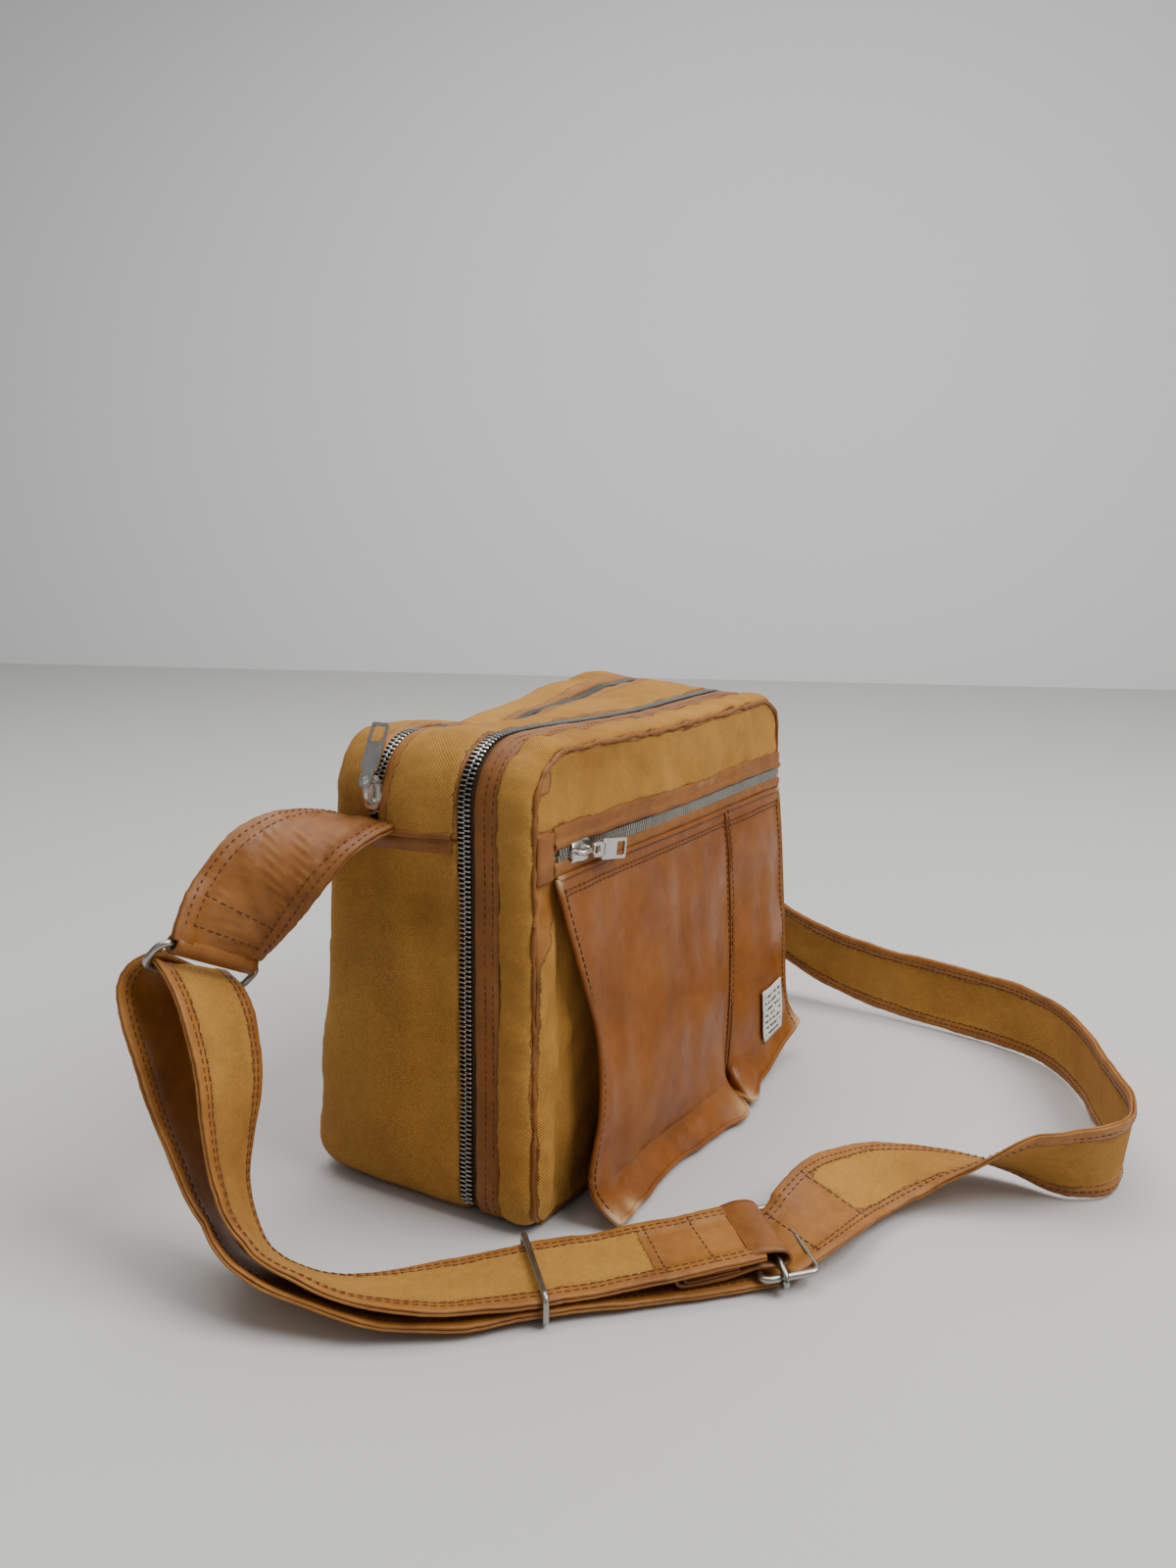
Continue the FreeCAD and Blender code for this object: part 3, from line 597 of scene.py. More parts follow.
def ribbon(name, points, width, thick, look, seed, border, bareTop=True, bareUnder=True, wrinkle=0.0,
           step=2.5 * mm, tanEnds=(-1.0, -1.0)):
    # Doubled webbing with folded borders, a groove between its plies and slightly uneven edges.
    line, travel, cross, up = ribbonFrame(points, step)
    n = len(line)
    w, t, b = width / 2, thick / 2, border * mm
    half = [(-w + 1.7 * mm, 0.03 * t), (-w - 0.10 * mm, 0.12 * t), (-w - 0.45 * mm, 0.50 * t),
            (-w - 0.15 * mm, 0.85 * t), (-w + 0.7 * mm, 1.0 * t), (-w + b * 0.55, 0.98 * t),
            (-w + b, 0.94 * t), (-w + b + 0.5 * mm, 0.66 * t)]
    crown = [(q * (w - b - 2 * mm), 0.70 * t) for q in (-0.75, -0.4, 0.0, 0.4, 0.75)]
    top = half + crown + [(-u, h) for u, h in half[::-1]]
    loop = np.array(top + [(-u, -h) for u, h in top])
    m = len(loop)
    us, hs = np.tile(loop[:, 0], (n, 1)), np.tile(loop[:, 1], (n, 1))
    far = np.broadcast_to(travel[:, None], (n, m))
    probe = np.stack([far, us * 0.4, hs * 0], -1)
    uneven = 0.45 * mm * waves(probe, 0.030, seed) + 0.12 * mm * waves(probe, 0.004, seed + 9)
    us += uneven * (abs(us) / w) ** 4
    hs += ripple(probe, seed, wrinkle, w) * np.where(hs > 0, 1, 0.35)
    p = line[:, None] + cross[:, None] * us[..., None] + up[:, None] * hs[..., None]
    p[..., 2] = np.maximum(p[..., 2], 0.15 * mm)
    ends = np.minimum(travel - tanEnds[0], travel[-1] - tanEnds[1] - travel) + strapCoat
    coat = np.minimum(w - abs(us), np.maximum(ends, 0)[:, None])
    coat = coat * np.where(loop[:, 1] > 0, bareTop, bareUnder)
    faces = quads(n, m, 0, True, False).tolist()
    faces += [list(range(m)), list(range((n - 1) * m, n * m))[::-1]]
    piece = newMesh(name, p, faces, look, np.stack([far, us], -1), coat)
    guides[name] = {"line": line, "travel": travel, "cross": cross, "up": up, "half": w, "top": loop[:m // 2],
                    "seed": seed, "wrinkle": wrinkle}
    return piece, line, travel[-1]


stitches = {}


def addStitches(group, line, facing, lift=0.0):
    # Remember one row of stitches: points and the way they face.
    line, facing = np.asarray(line, float), np.asarray(facing, float)
    facing = facing / np.linalg.norm(facing, axis=-1, keepdims=True)
    stitches.setdefault(group, []).append((line + facing * lift, facing))


def ribbonHeight(name, travel, offset):
    # The height of a ribbon's upper face over its middle line.
    guide = guides[name]
    top = guide["top"][4:-4]
    probe = np.stack([travel, travel * 0 + offset * 0.4, travel * 0], -1)
    rise = ripple(probe, guide["seed"], guide["wrinkle"], guide["half"])
    return np.interp(offset, top[:, 0], top[:, 1]) + rise


def ribbonStitches(name, offsets, start, end, both=False):
    line, travel, cross, up = (guides[name][key] for key in ("line", "travel", "cross", "up"))
    keep = (travel >= travel[-1] * start) & (travel <= travel[-1] * end)
    for offset in offsets:
        rise = ribbonHeight(name, travel, offset)[:, None]
        for side in ((1, -1) if both else (1,)):
            addStitches(name, (line + cross * offset + up * side * rise)[keep], (up * side)[keep])


strapRuns = {}
strapWidth, strapThick, outerRow, innerRow = 39.5 * mm, 2.9 * mm, 16.6 * mm, 14.0 * mm
for name, run in routes.items():
    piece, line, length = ribbon(name, run["points"], strapWidth, strapThick, "strap", 11, run["border"],
                                 name != "strap_lower", True, tanEnds=run["tan"])
    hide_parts(name + "_run")
    strapRuns[name] = (piece, line, length)
    ribbonStitches(name, [-outerRow, outerRow], 0.02, 0.985, name == "strap_right")
    ribbonStitches(name, [-innerRow, innerRow], 0.02, 0.985)
    print(name, "length", round(length, 4))

# The sewn end of the upper run wraps the adjuster's middle bar and comes back under itself as a hem.
adjuster = np.array([-0.086, -0.151, 0.0])
adjusterAlong, adjusterAcross = np.array([0.70, -0.714, 0.0]), np.array([0.714, 0.70, 0.0])


def endSheet(name, profile, thick, seed):
    line = through(np.array(profile) * mm, np.linspace(0, len(profile) - 1, len(profile) * 6))
    v = np.linspace(-0.0193, 0.0193, 13)
    travel = np.concatenate([[0], np.cumsum(np.linalg.norm(np.diff(line, axis=0), axis=1))])
    p = (adjuster + line[:, None, :1] * adjusterAlong + v[None, :, None] * adjusterAcross
         + line[:, None, 1:] * np.array([0, 0, 1]))
    uv = np.stack(np.broadcast_arrays(travel[:, None], v[None, :]), -1)
    p[..., 2] += 0.00012 * waves(np.stack([uv[..., 0], uv[..., 1], uv[..., 0] * 0], -1), 0.015, seed)
    return shell(name, p, uv, "tan", thick, flip=True)


strapEnd = {
    "wrap": [(-15, 14.0), (-12, 15.1), (-9, 15.85), (-5, 15.7), (-1.2, 14.8), (0.6, 12.7), (0.0, 10.7),
             (-3.0, 9.9), (-8, 10.1), (-13, 10.5), (-22, 8.3), (-32, 6.8), (-43, 6.2), (-45.6, 8.0),
             (-43, 9.9), (-32, 10.9), (-22, 11.7), (-15, 12.2)],
    "hem": [(-20, 9.9), (-31, 8.5), (-41.2, 7.6), (-42.3, 8.2), (-41.2, 8.8), (-31, 9.6), (-20, 10.8)],
}
wrap = endSheet("strap_fold", strapEnd["wrap"], 1.3 * mm, 21)
hem = endSheet("strap_hem", strapEnd["hem"], 0.7 * mm, 23)
fold = joined("strap_fold", [wrap, hem])
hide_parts("strap_end_fold")
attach(fold, "root")


def crossRow(name, at, half):
    line, travel, cross, up = (guides[name][key] for key in ("line", "travel", "cross", "up"))
    i = int(np.argmin(abs(travel - at)))
    v = np.linspace(-half, half, 12)
    rise = ribbonHeight(name, np.full(12, travel[i]), v)
    addStitches(name, line[i] + cross[i] * v[:, None] + up[i] * rise[:, None], np.repeat(up[i][None], 12, 0))


for at in (0.020, 0.041):
    crossRow("strap_upper", strapRuns["strap_upper"][2] - at, 0.016)
for at in (0.014, 0.044):
    crossRow("strap_right", at, 0.016)

# The side tab: doubled leather, wrinkled, folded round the ring.

ringAxis = Vector((0.88, -0.12, -0.45)).normalized()
lean = Vector((0.05, -0.55, 0.83))
ringUp = (lean - ringAxis * lean.dot(ringAxis)).normalized()
strapBar = Vector((-0.197, 0.060, 0.115))
tabBar = strapBar + ringUp * 0.014
tabEnd = tabBar / mm + ringUp * 3.0
tabSpec = {
    "points": [(-129.6, 28, 172.6, 0, -1, 0), (-148, 28, 173.5, .12, -.98, -.15),
               (-168, 35, 164, .35, -.9, -.25), (-183, 43, 148, .62, -.68, -.38),
               (*tabEnd, .88, -.12, -.45)],
    "width": 43.5 * mm, "thick": 4.0 * mm, "border": 8.0, "seed": 31, "wrinkle": 0.55 * mm, "step": 0.8 * mm,
}
tab, _, tabLength = ribbon("side_tab", tabSpec["points"], tabSpec["width"], tabSpec["thick"], "tan",
                                 tabSpec["seed"], tabSpec["border"], False, False, tabSpec["wrinkle"],
                                 tabSpec["step"])
sleeveRadius, sleeveHalf = 4.2 * mm, 20.5 * mm
loopLine = np.array([tabBar + (ringUp * math.cos(a) + ringUp.cross(ringAxis) * math.sin(a)) * sleeveRadius
                     for a in np.linspace(0, 2 * math.pi, 21)])
v = np.linspace(-sleeveHalf, sleeveHalf, 13)
loopGrid = loopLine[:, None] + np.array(ringAxis)[None, None] * v[None, :, None]
loopUv = np.stack(np.meshgrid(np.linspace(0, 0.016, len(loopLine)), v, indexing="ij"), -1)
tabLoop = shell("side_tab_loop", loopGrid, loopUv, "tan", 1.4 * mm, flip=True)
tab = joined("side_tab", [tab, tabLoop])
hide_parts("left_tab")
ribbonStitches("side_tab", [-0.0190, -0.0150, 0.0150, 0.0190], 0.03, 0.93)
for at in (0.80, 0.93):
    crossRow("side_tab", tabLength * at, 0.0145)
print("strap done")

# The shells of the rear compartment.


def coatTo(distances):
    return np.minimum.reduce([np.broadcast_to(d, distances[0].shape) for d in distances])


def puckers(amount, seed, size=0.012):
    # Small folds that start at a band's edges and fade out across it.
    def offset(ss, ys, at, total, p):
        near = np.exp(-at / 0.012) + np.exp(-(total - at) / 0.012)
        soft = 0.00055 * waves(np.stack([ss, ys, ss * 0], -1), 0.055, seed + 7)
        return amount * near * waves(np.stack([ss, ys * 0.25, ss * 0], -1), size, seed) + soft
    return offset


def band(name, s0, s1, profile, look, thick, coat=None, extra=None, step=2.6 * mm):
    p, uv, ss, at = bandGrid(s0, s1, step, profile, extra)
    total = at.max()
    distance = None if coat is None else coat(ss, at, total, p)
    return shell(name, sag(p), uv, look, thick, distance, flip=True)


sLeft, sRight = leftAt(seamZ), girth - leftAt(seamZ)
edgeRadius = 0.012
rearProfile = [(-0.0233, 0.0010), (-0.0222, 0.0), (0.030, 0.0)] + roundEdge(backY, edgeRadius, 0.011)


def gusset():
    # The rear gusset goes down the left side, under the base and up the right side, over to the back.
    def coat(ss, at, total, p):
        return coatTo([at + 0.0024, abs(seamZ - p[..., 2]) + 0.0006, total - at + 0.0015])
    return band("rear_gusset", sRight - girth, sLeft, rearProfile, "body", 1.6 * mm, coat,
                puckers(0.0006, 41))


gussetPiece = gusset()
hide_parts("main_gusset")
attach(gussetPiece, "root")


def facePanel(name, y, inset, zLow, zHigh, bulge, seed, look, out, coat=None, thick=1.6 * mm, step=3.0 * mm,
              shape=None):
    # A face across the bag at depth y inside the outline, bulged outwards by bulge and softly creased.
    nz = int((zHigh - zLow) / step) + 2
    rows = np.linspace(zLow, zHigh, nz)
    top, base = height - inset, inset
    rTop, rBase = topRadius - inset, max(baseRadius - inset, 0.001)
    wide = halfWidth - inset
    cutTop = np.clip(rows - (top - rTop), 0, rTop)
    cutBase = np.clip(base + rBase - rows, 0, rBase)
    half = wide - (rTop - np.sqrt(np.maximum(rTop**2 - cutTop**2, 0)))
    half -= rBase - np.sqrt(np.maximum(rBase**2 - cutBase**2, 0))
    nx = int(2 * wide / step) + 2
    u = np.linspace(-1, 1, nx)
    xs = u[None, :] * half[:, None]
    zs = np.broadcast_to(rows[:, None], xs.shape)
    edge = np.minimum(half[:, None] - abs(xs), np.minimum(top - zs, zs - base))
    domed = ease(edge / 0.030)
    p0 = np.stack([xs, zs * 0, zs], -1)
    fold = 0.0010 * waves(p0, 0.060, seed) + 0.0005 * waves(p0, 0.022, seed + 1)
    pinch = 0.0006 * waves(p0, 0.011, seed + 2) * np.exp(-edge / 0.010)
    ys = y + out * (bulge * domed + fold * ease(edge / 0.012) + pinch * ease(edge / 0.002))
    if shape:
        ys = ys + out * shape(xs, zs)
    distance = None if coat is None else coat(xs, zs, edge)
    p = np.stack([xs, ys, zs], -1)
    return shell(name, sag(p), np.stack([xs, zs], -1), look, thick, distance, flip=out < 0)


backInset = 10.8 * mm
back = facePanel("back_panel_canvas", backY - 0.0004, backInset, backInset, height - backInset, 0.0012, 61,
                 "body", 1, lambda xs, zs, edge: edge + 0.0012)
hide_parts("back_panel")
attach(back, "root")
divider = facePanel("divider_lining", splitY + 0.0016, 0.0042, 0.0046, height - 0.0046, 0.0, 63, "lining", -1,
                    None, 0.9 * mm)
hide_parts("divider_panel")
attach(divider, "root")


def roundLine(inset, y, s0, s1, step=2.4 * mm, wobble=0.0, seed=3):
    s = np.linspace(s0, s1, int(abs(s1 - s0) / step))
    x, z, nx, nz = outline(s, inset)
    p = np.stack([x, np.full_like(x, y), z], -1)
    jitter = wobble * waves(p, 0.018, seed)
    p[:, 0] += nx * jitter
    p[:, 2] += nz * jitter
    p[:, 1] += wobble * 0.7 * waves(p, 0.014, seed + 1)
    return p, np.stack([nx, nx * 0, nz], -1), s


def welt(name, inset, y, s0, s1, radius, look, body, ragged, seed):
    # A rolled seam; ragged makes its thickness and line uneven.
    p, n, s = roundLine(inset, y, s0, s1, 1.6 * mm, ragged, seed)
    r = radius * (1 + 0.35 * (ragged > 0) * waves(p, 0.007, seed + 2))
    piece = tube(name, sag(p), np.clip(r, radius * 0.45, radius * 1.7), look)
    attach(piece, body)
    return piece


welt("back_seam", backInset, backY - 0.0006, 0.0, girth * (1 - 1e-4), 1.0 * mm, "trim", "root",
     0.0003, 71)

# Base cloth under the front compartment stays with the rear one.
baseProfile = [(frontY + 0.003, 0.0004), (splitY - 0.0006, 0.0004)]
frontBase = band("front_base_canvas", -baseRun, baseRun, baseProfile,
                 "body", 1.2 * mm, lambda ss, at, total, p: at + 0.004)
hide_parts("front_base")
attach(frontBase, "root")

# Bindings over the side seams: a welt above a flat stitched band with a worn lower edge.
for sideName, sign in (("left", -1), ("right", 1)):
    y = np.linspace(-0.0216, 0.0545, 48)
    profile = np.array([(-6.6, 0.4), (-6.2, 1.7), (-3.0, 2.0), (-0.6, 1.9), (0.0, 1.5), (0.5, 2.3),
                        (1.4, 2.8), (2.3, 2.4), (2.8, 0.6)]) * mm
    ys = np.broadcast_to(y[:, None], (len(y), len(profile)))
    probe = np.stack([ys, ys * 0 + profile[None, :, 0], ys * 0], -1)
    xs = sign * (halfWidth + profile[None, :, 1] + 0.00015 * waves(probe, 0.012, 81))
    worn = 0.0004 * waves(probe * [1, 0, 0], 0.02, 83) * (profile[None, :, 0] < -0.003)
    zs = seamZ + profile[None, :, 0] + worn
    p = np.stack([xs + ys * 0, ys, zs], -1)
    uv = np.stack([ys, ys * 0 + profile[None, :, 0]], -1)
    binding = shell(f"side_binding_cover_{sideName}", sag(p), uv, "trim", 0.5 * mm, flip=sign > 0)
    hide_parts(f"side_binding_{sideName}")
    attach(binding, "root")
    for dz in (-4.3, -1.6):
        row = np.stack([np.full(40, sign * (halfWidth + 0.0020)), np.linspace(-0.021, 0.052, 40),
                        np.full(40, seamZ + dz * mm)], -1)
        addStitches("root", sag(row), np.repeat([[sign, 0, 0]], 40, 0))

# The top closure: two strips, each one piece of canvas from seam to seam.

topEnds = {"front": [(-0.0233, 0.0010), (-0.0222, 0.0), (0.0160, 0.0), (0.0172, 0.0006)],
           "rear": [(0.0228, 0.0006), (0.0240, 0.0), (0.030, 0.0),
                    *roundEdge(backY - 0.0002, edgeRadius, 0.011)]}
for side, profile in topEnds.items():
    def coat(ss, at, total, p, side=side):
        fromZip = (total - at) if side == "front" else at
        ends = np.maximum(p[..., 2] - seamZ, 0) + 0.0040
        far = (at if side == "front" else total - at) + 0.0050
        return coatTo([fromZip, ends, far])
    strip = band(f"top_strip_{side}", sLeft + 0.0006, sRight - 0.0006, profile, "zipside", 1.5 * mm, coat,
                 puckers(0.0005, 91 if side == "front" else 97))
    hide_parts(f"top_{side}_strip", f"top_{side}_strip_ends")
    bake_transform(strip)
    yTape = (0.0112, topZipY - 0.0002) if side == "front" else (topZipY + 0.0002, 0.0288)
    tape = band(f"top_tape_{side}", leftAt(0.176), girth - leftAt(0.176),
                [(yTape[0], 0.0026), (yTape[1], 0.0026)], "tape", 0.6 * mm)
    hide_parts(f"top_zip_{side}_tape")
    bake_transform(tape)
    sideSign = -1 if side == "front" else 1
    for off in (0.0052, 0.0082):
        p, n, s = roundLine(-0.0002, topZipY + sideSign * off, sLeft + 0.004, sRight - 0.004)
        addStitches(f"top_flap_{side}", sag(p), n)

# The front section: band, trim, ragged piping and face.

trayS0, trayS1 = baseRun + 0.010, girth - baseRun - 0.010
faceInset = 3.4 * mm
tray = {
    "band": [(-0.0425, 0.0002), (-0.0450, -0.0008), (-0.0500, -0.0013), (-0.0545, -0.0006),
             (-0.0570, 0.0006), (-0.0584, 0.0018), (-0.0590, 0.0034)],
    "trim": [(-0.0310, 0.0014), (-0.0316, -0.0004), (-0.0334, -0.0012), (-0.0350, -0.0006),
             (-0.0362, -0.0003), (-0.0425, -0.0005), (-0.0438, 0.0002)],
}
frontBand = band("front_band", trayS0, trayS1, tray["band"], "body", 1.5 * mm,
                 lambda ss, at, total, p: coatTo([at + 0.0010, total - at + 0.0008]), puckers(0.0006, 103))
trimBand = band("front_trim", trayS0, trayS1, tray["trim"], "trim", 0.8 * mm,
                extra=lambda ss, ys, at, total, p: 0.00015 * waves(p, 0.012, 107))
piping = welt("front_piping_roll", faceInset, frontY - 0.0002, trayS0, trayS1, 1.05 * mm, "trim",
              "front_section", 0.00045, 109)
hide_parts("front_piping")
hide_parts("front_gusset")
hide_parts("front_zip_trim")
for piece, slotName in ((frontBand, "canvas"), (trimBand, "leather")):
    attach(piece, "front_section")
for y in (-0.0372, -0.0412):
    p, n, s = roundLine(-0.0003, y, trayS0 + 0.002, trayS1 - 0.002)
    addStitches("front_section", sag(p), n)

zipZ, slotHalf = 0.164, 0.0036
upperZ, lowZ = zipZ + slotHalf, zipZ - slotHalf


def upperCoat(xs, zs, edge):
    peeled = np.hypot((xs + 0.118) / 1.5, zs - 0.196)
    return coatTo([edge - 0.0006, zs - (upperZ + 0.0072), np.maximum(peeled - 0.0035, 0)])


def slotDip(zs):
    return -0.0018 * (hump(zs, upperZ, 0.0045) + hump(zs, lowZ, 0.0040))


frontUpper = facePanel("front_face_upper", frontY, faceInset, upperZ, height - faceInset, 0.0010, 113, "body",
                       -1, upperCoat, 1.4 * mm, 2.4 * mm, shape=lambda xs, zs: slotDip(zs))


def cornerFold(xs, zs):
    # The cloth left of the pocket rolls forward and sinks into a valley under the pocket's ridge.
    down = ease((0.150 - zs) / 0.03) * ease(zs / 0.015)
    roll = 0.0034 * hump(xs, -0.1165, 0.0065) - 0.0016 * hump(xs, -0.104, 0.004)
    crumple = 0.0010 * waves(np.stack([xs, xs * 0, zs * 0.5], -1), 0.018, 119) * hump(xs, -0.115, 0.012)
    return slotDip(zs) + down * (roll + crumple)


def lowerCoat(xs, zs, edge):
    return coatTo([edge, np.maximum(0.130 + (xs + 0.118) * 1.5 - zs, 0.0) * 0.5])


frontLower = facePanel("front_face_lower", frontY, faceInset, faceInset, lowZ, 0.0006, 117, "body", -1,
                       lowerCoat, 1.4 * mm, 2.2 * mm, shape=cornerFold)
for piece, node in ((frontUpper, "front_panel_upper"), (frontLower, "front_panel_lower")):
    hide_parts(node)
    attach(piece, "front_section")


def faceStrip(name, x0, x1, profile, node, seed):
    # A strip along X on the front face: profile lists (z, how far it stands proud) across it.
    x = np.linspace(x0, x1, int((x1 - x0) / 0.0024) + 2)
    profile = np.asarray(profile, float)
    xs = np.broadcast_to(x[:, None], (len(x), len(profile)))
    probe = np.stack([xs, xs * 0 + profile[None, :, 0], xs * 0], -1)
    zs = profile[None, :, 0] + 0.00035 * waves(probe * [1, 0, 0], 0.022, seed)
    ys = frontY - profile[None, :, 1] - 0.00012 * waves(probe, 0.010, seed + 1)
    p = np.stack([xs, ys, zs + xs * 0], -1)
    piece = shell(name, sag(p), np.stack([xs, zs + xs * 0], -1), "trim", 0.6 * mm, flip=True)
    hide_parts(node)
    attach(piece, "front_section")


slotLeft = -0.112
faceStrip("zip_binding_upper", slotLeft, 0.1262, [
    (upperZ - 0.0004, 0.2 * mm), (upperZ - 0.0001, 1.5 * mm), (upperZ + 0.0011, 2.1 * mm),
    (upperZ + 0.0023, 1.4 * mm), (upperZ + 0.0028, 0.8 * mm), (upperZ + 0.0050, 1.0 * mm),
    (upperZ + 0.0078, 0.9 * mm), (upperZ + 0.0084, 0.2 * mm)], "front_zip_binding_upper", 121)
faceStrip("zip_binding_lower", slotLeft, 0.1262, [
    (lowZ - 0.0052, 0.3 * mm), (lowZ - 0.0046, 1.2 * mm), (lowZ - 0.0030, 1.3 * mm),
    (lowZ - 0.0012, 1.6 * mm), (lowZ + 0.0002, 1.2 * mm), (lowZ + 0.0005, 0.2 * mm)], "front_zip_binding_lower", 123)
faceStrip("zip_end_tab", -0.1245, slotLeft - 0.0006, [
    (0.1550, 0.4 * mm), (0.1556, 1.2 * mm), (0.164, 1.1 * mm), (0.1725, 1.1 * mm), (0.1745, 1.3 * mm),
    (0.1760, 0.3 * mm)], "front_zip_end_tab", 127)
for z, x0 in ((upperZ + 0.0042, -0.122), (upperZ + 0.0068, -0.122), (lowZ - 0.0036, -0.108)):
    row = np.stack([np.linspace(x0, 0.124, 100), np.full(100, frontY - 0.0011), np.full(100, z)], -1)
    addStitches("front_section", sag(row), np.repeat([[0, -1, 0]], 100, 0))
for x in (-0.1150, -0.1135):
    row = np.stack([np.full(12, x), np.full(12, frontY - 0.0013), np.linspace(0.1565, 0.1745, 12)], -1)
    addStitches("front_section", sag(row), np.repeat([[0, -1, 0]], 12, 0))
for name, z0, z1 in (("upper", zipZ + 0.0002, zipZ + 0.0080), ("lower", zipZ - 0.0080, zipZ - 0.0002)):
    x = np.linspace(slotLeft, 0.1245, 70)
    xs, zs = np.meshgrid(x, np.linspace(z0, z1, 5), indexing="ij")
    p = np.stack([xs, xs * 0 + frontY + 0.0008, zs], -1)
    tape = shell(f"front_tape_{name}", sag(p), np.stack([xs, zs], -1), "pale", 0.6 * mm, flip=True)
    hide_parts(f"front_zip_{name}_tape")
    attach(tape, "front_section")
print("shells done")

# The bellows pocket: two leather bays with pinched ridges and flared lower corners.


def netSurface(net, nu, nv):
    # A smooth grid through a net of points.
    net = np.asarray(net, float) * mm
    rows = through(net, np.linspace(0, len(net) - 1, nu))
    columns = through(np.transpose(rows, (1, 0, 2)), np.linspace(0, net.shape[1] - 1, nv))
    return np.transpose(columns, (1, 0, 2))


bays = {
    "left": {
        "node": ("pocket_front_left", "pocket_gusset_left"),
        "seed": 131,
        "tips": [(-101.5, -88.5, 3.6, 7), (-85, -87, 2.5, 5), (29, -89.8, 3.4, 8), (-110, -61, 154, 4)],
        "net": [
            [(-110, -60.6, 154.6), (-80, -60.8, 155), (-40, -60.9, 155), (6, -61, 155),
             (34, -61, 155), (52, -61, 155)],
            [(-107, -65.5, 133), (-76, -63, 133), (-36, -64, 134), (6, -64, 134),
             (34, -63.6, 134), (54.3, -62.8, 134)],
            [(-99.5, -69, 106), (-74, -65.5, 107), (-34, -67, 108), (8, -66.8, 108),
             (35, -65.8, 108), (54, -64.5, 108)],
            [(-94.5, -72.5, 82), (-72, -69, 82), (-32, -70.5, 83), (8, -70, 83),
             (36, -68.3, 83), (52.5, -66, 83)],
            [(-96, -75, 50), (-73, -73, 50), (-32, -74.5, 50), (8, -74, 50),
             (34, -71.3, 50), (49.5, -67.6, 50)],
            [(-104.5, -75.5, 22), (-76, -75.5, 21), (-32, -76, 20), (8, -76, 20),
             (31, -74, 20), (45.5, -69, 21)],
            [(-103.5, -79.5, 10.5), (-76, -76.4, 12.5), (-32, -76.4, 13), (5, -77, 13.6),
             (27, -77.5, 13.6), (46, -68, 12)],
            [(-101.5, -88.5, 3.6), (-75, -85.6, 2.6), (-31, -84.4, 2.6), (6, -86.5, 2.6),
             (29, -89.8, 3.4), (49.5, -67.5, 4)],
        ],
    },
    "right": {
        "node": ("pocket_front_right", "pocket_gusset_right"),
        "seed": 137,
        "tips": [(41, -88.7, 4.2, 6), (125, -80, 18, 7), (125, -62, 154, 4)],
        "net": [
            [(52.8, -61, 155), (64, -61, 155), (84, -61.2, 155), (106, -61.2, 155), (125.5, -60.6, 154)],
            [(55.1, -62.8, 128), (65, -64.2, 128), (84, -65.6, 128),
             (106, -66.0, 128), (125.0, -63.5, 128)],
            [(54.5, -64.8, 98), (64.5, -66.9, 98), (82, -69, 98), (105, -69.5, 98), (123.5, -66.5, 98)],
            [(52.0, -66.8, 66), (62.5, -69.5, 66), (81, -72, 66), (104, -72.5, 66), (121.5, -69.5, 66)],
            [(49.2, -68.4, 38), (60, -71.6, 37), (79, -74, 36), (103, -74.5, 36), (121, -72, 36)],
            [(46.4, -68.8, 19), (53, -75.0, 17), (76, -75.4, 16), (102, -75.5, 20), (123, -75, 25)],
            [(50.2, -67.5, 5), (41, -88.7, 4.2), (72, -81.5, 3.4), (100, -80.5, 10), (125, -80, 18)],
        ],
    },
}


def pocketGrid(spec, nu, nv):
    p = netSurface(spec["net"], nu, nv)
    u, v = np.meshgrid(np.linspace(0, 1, nu), np.linspace(0, 1, nv), indexing="ij")
    inner = ease(v / 0.10) * ease((1 - v) / 0.10) * ease(u / 0.08)
    seed = spec["seed"]
    soft = 0.0011 * waves(p, 0.060, seed) + 0.00045 * waves(p * [1, 1, 0.5], 0.024, seed + 1)
    low = 0.0005 * ease((u - 0.72) / 0.1) * ease((0.98 - u) / 0.08) * waves(p * [1, 1, 0.3], 0.020, seed + 2)
    p[..., 1] -= inner * soft + low * ease(v / 0.04) * ease((1 - v) / 0.04)
    return p


def rubTips(piece, tips):
    count = len(piece.data.vertices)
    places = np.zeros(count * 3)
    piece.data.vertices.foreach_get("co", places)
    gap = places.reshape(-1, 1, 3) - np.array([t[:3] for t in tips])[None] * mm
    rub = np.exp(-(gap**2).sum(-1) / (np.array([t[3] for t in tips]) * mm)[None] ** 2).max(1)
    attribute = piece.data.attributes.new("rubbed", "FLOAT", "POINT")
    attribute.data.foreach_set("value", rub.astype(np.float32))


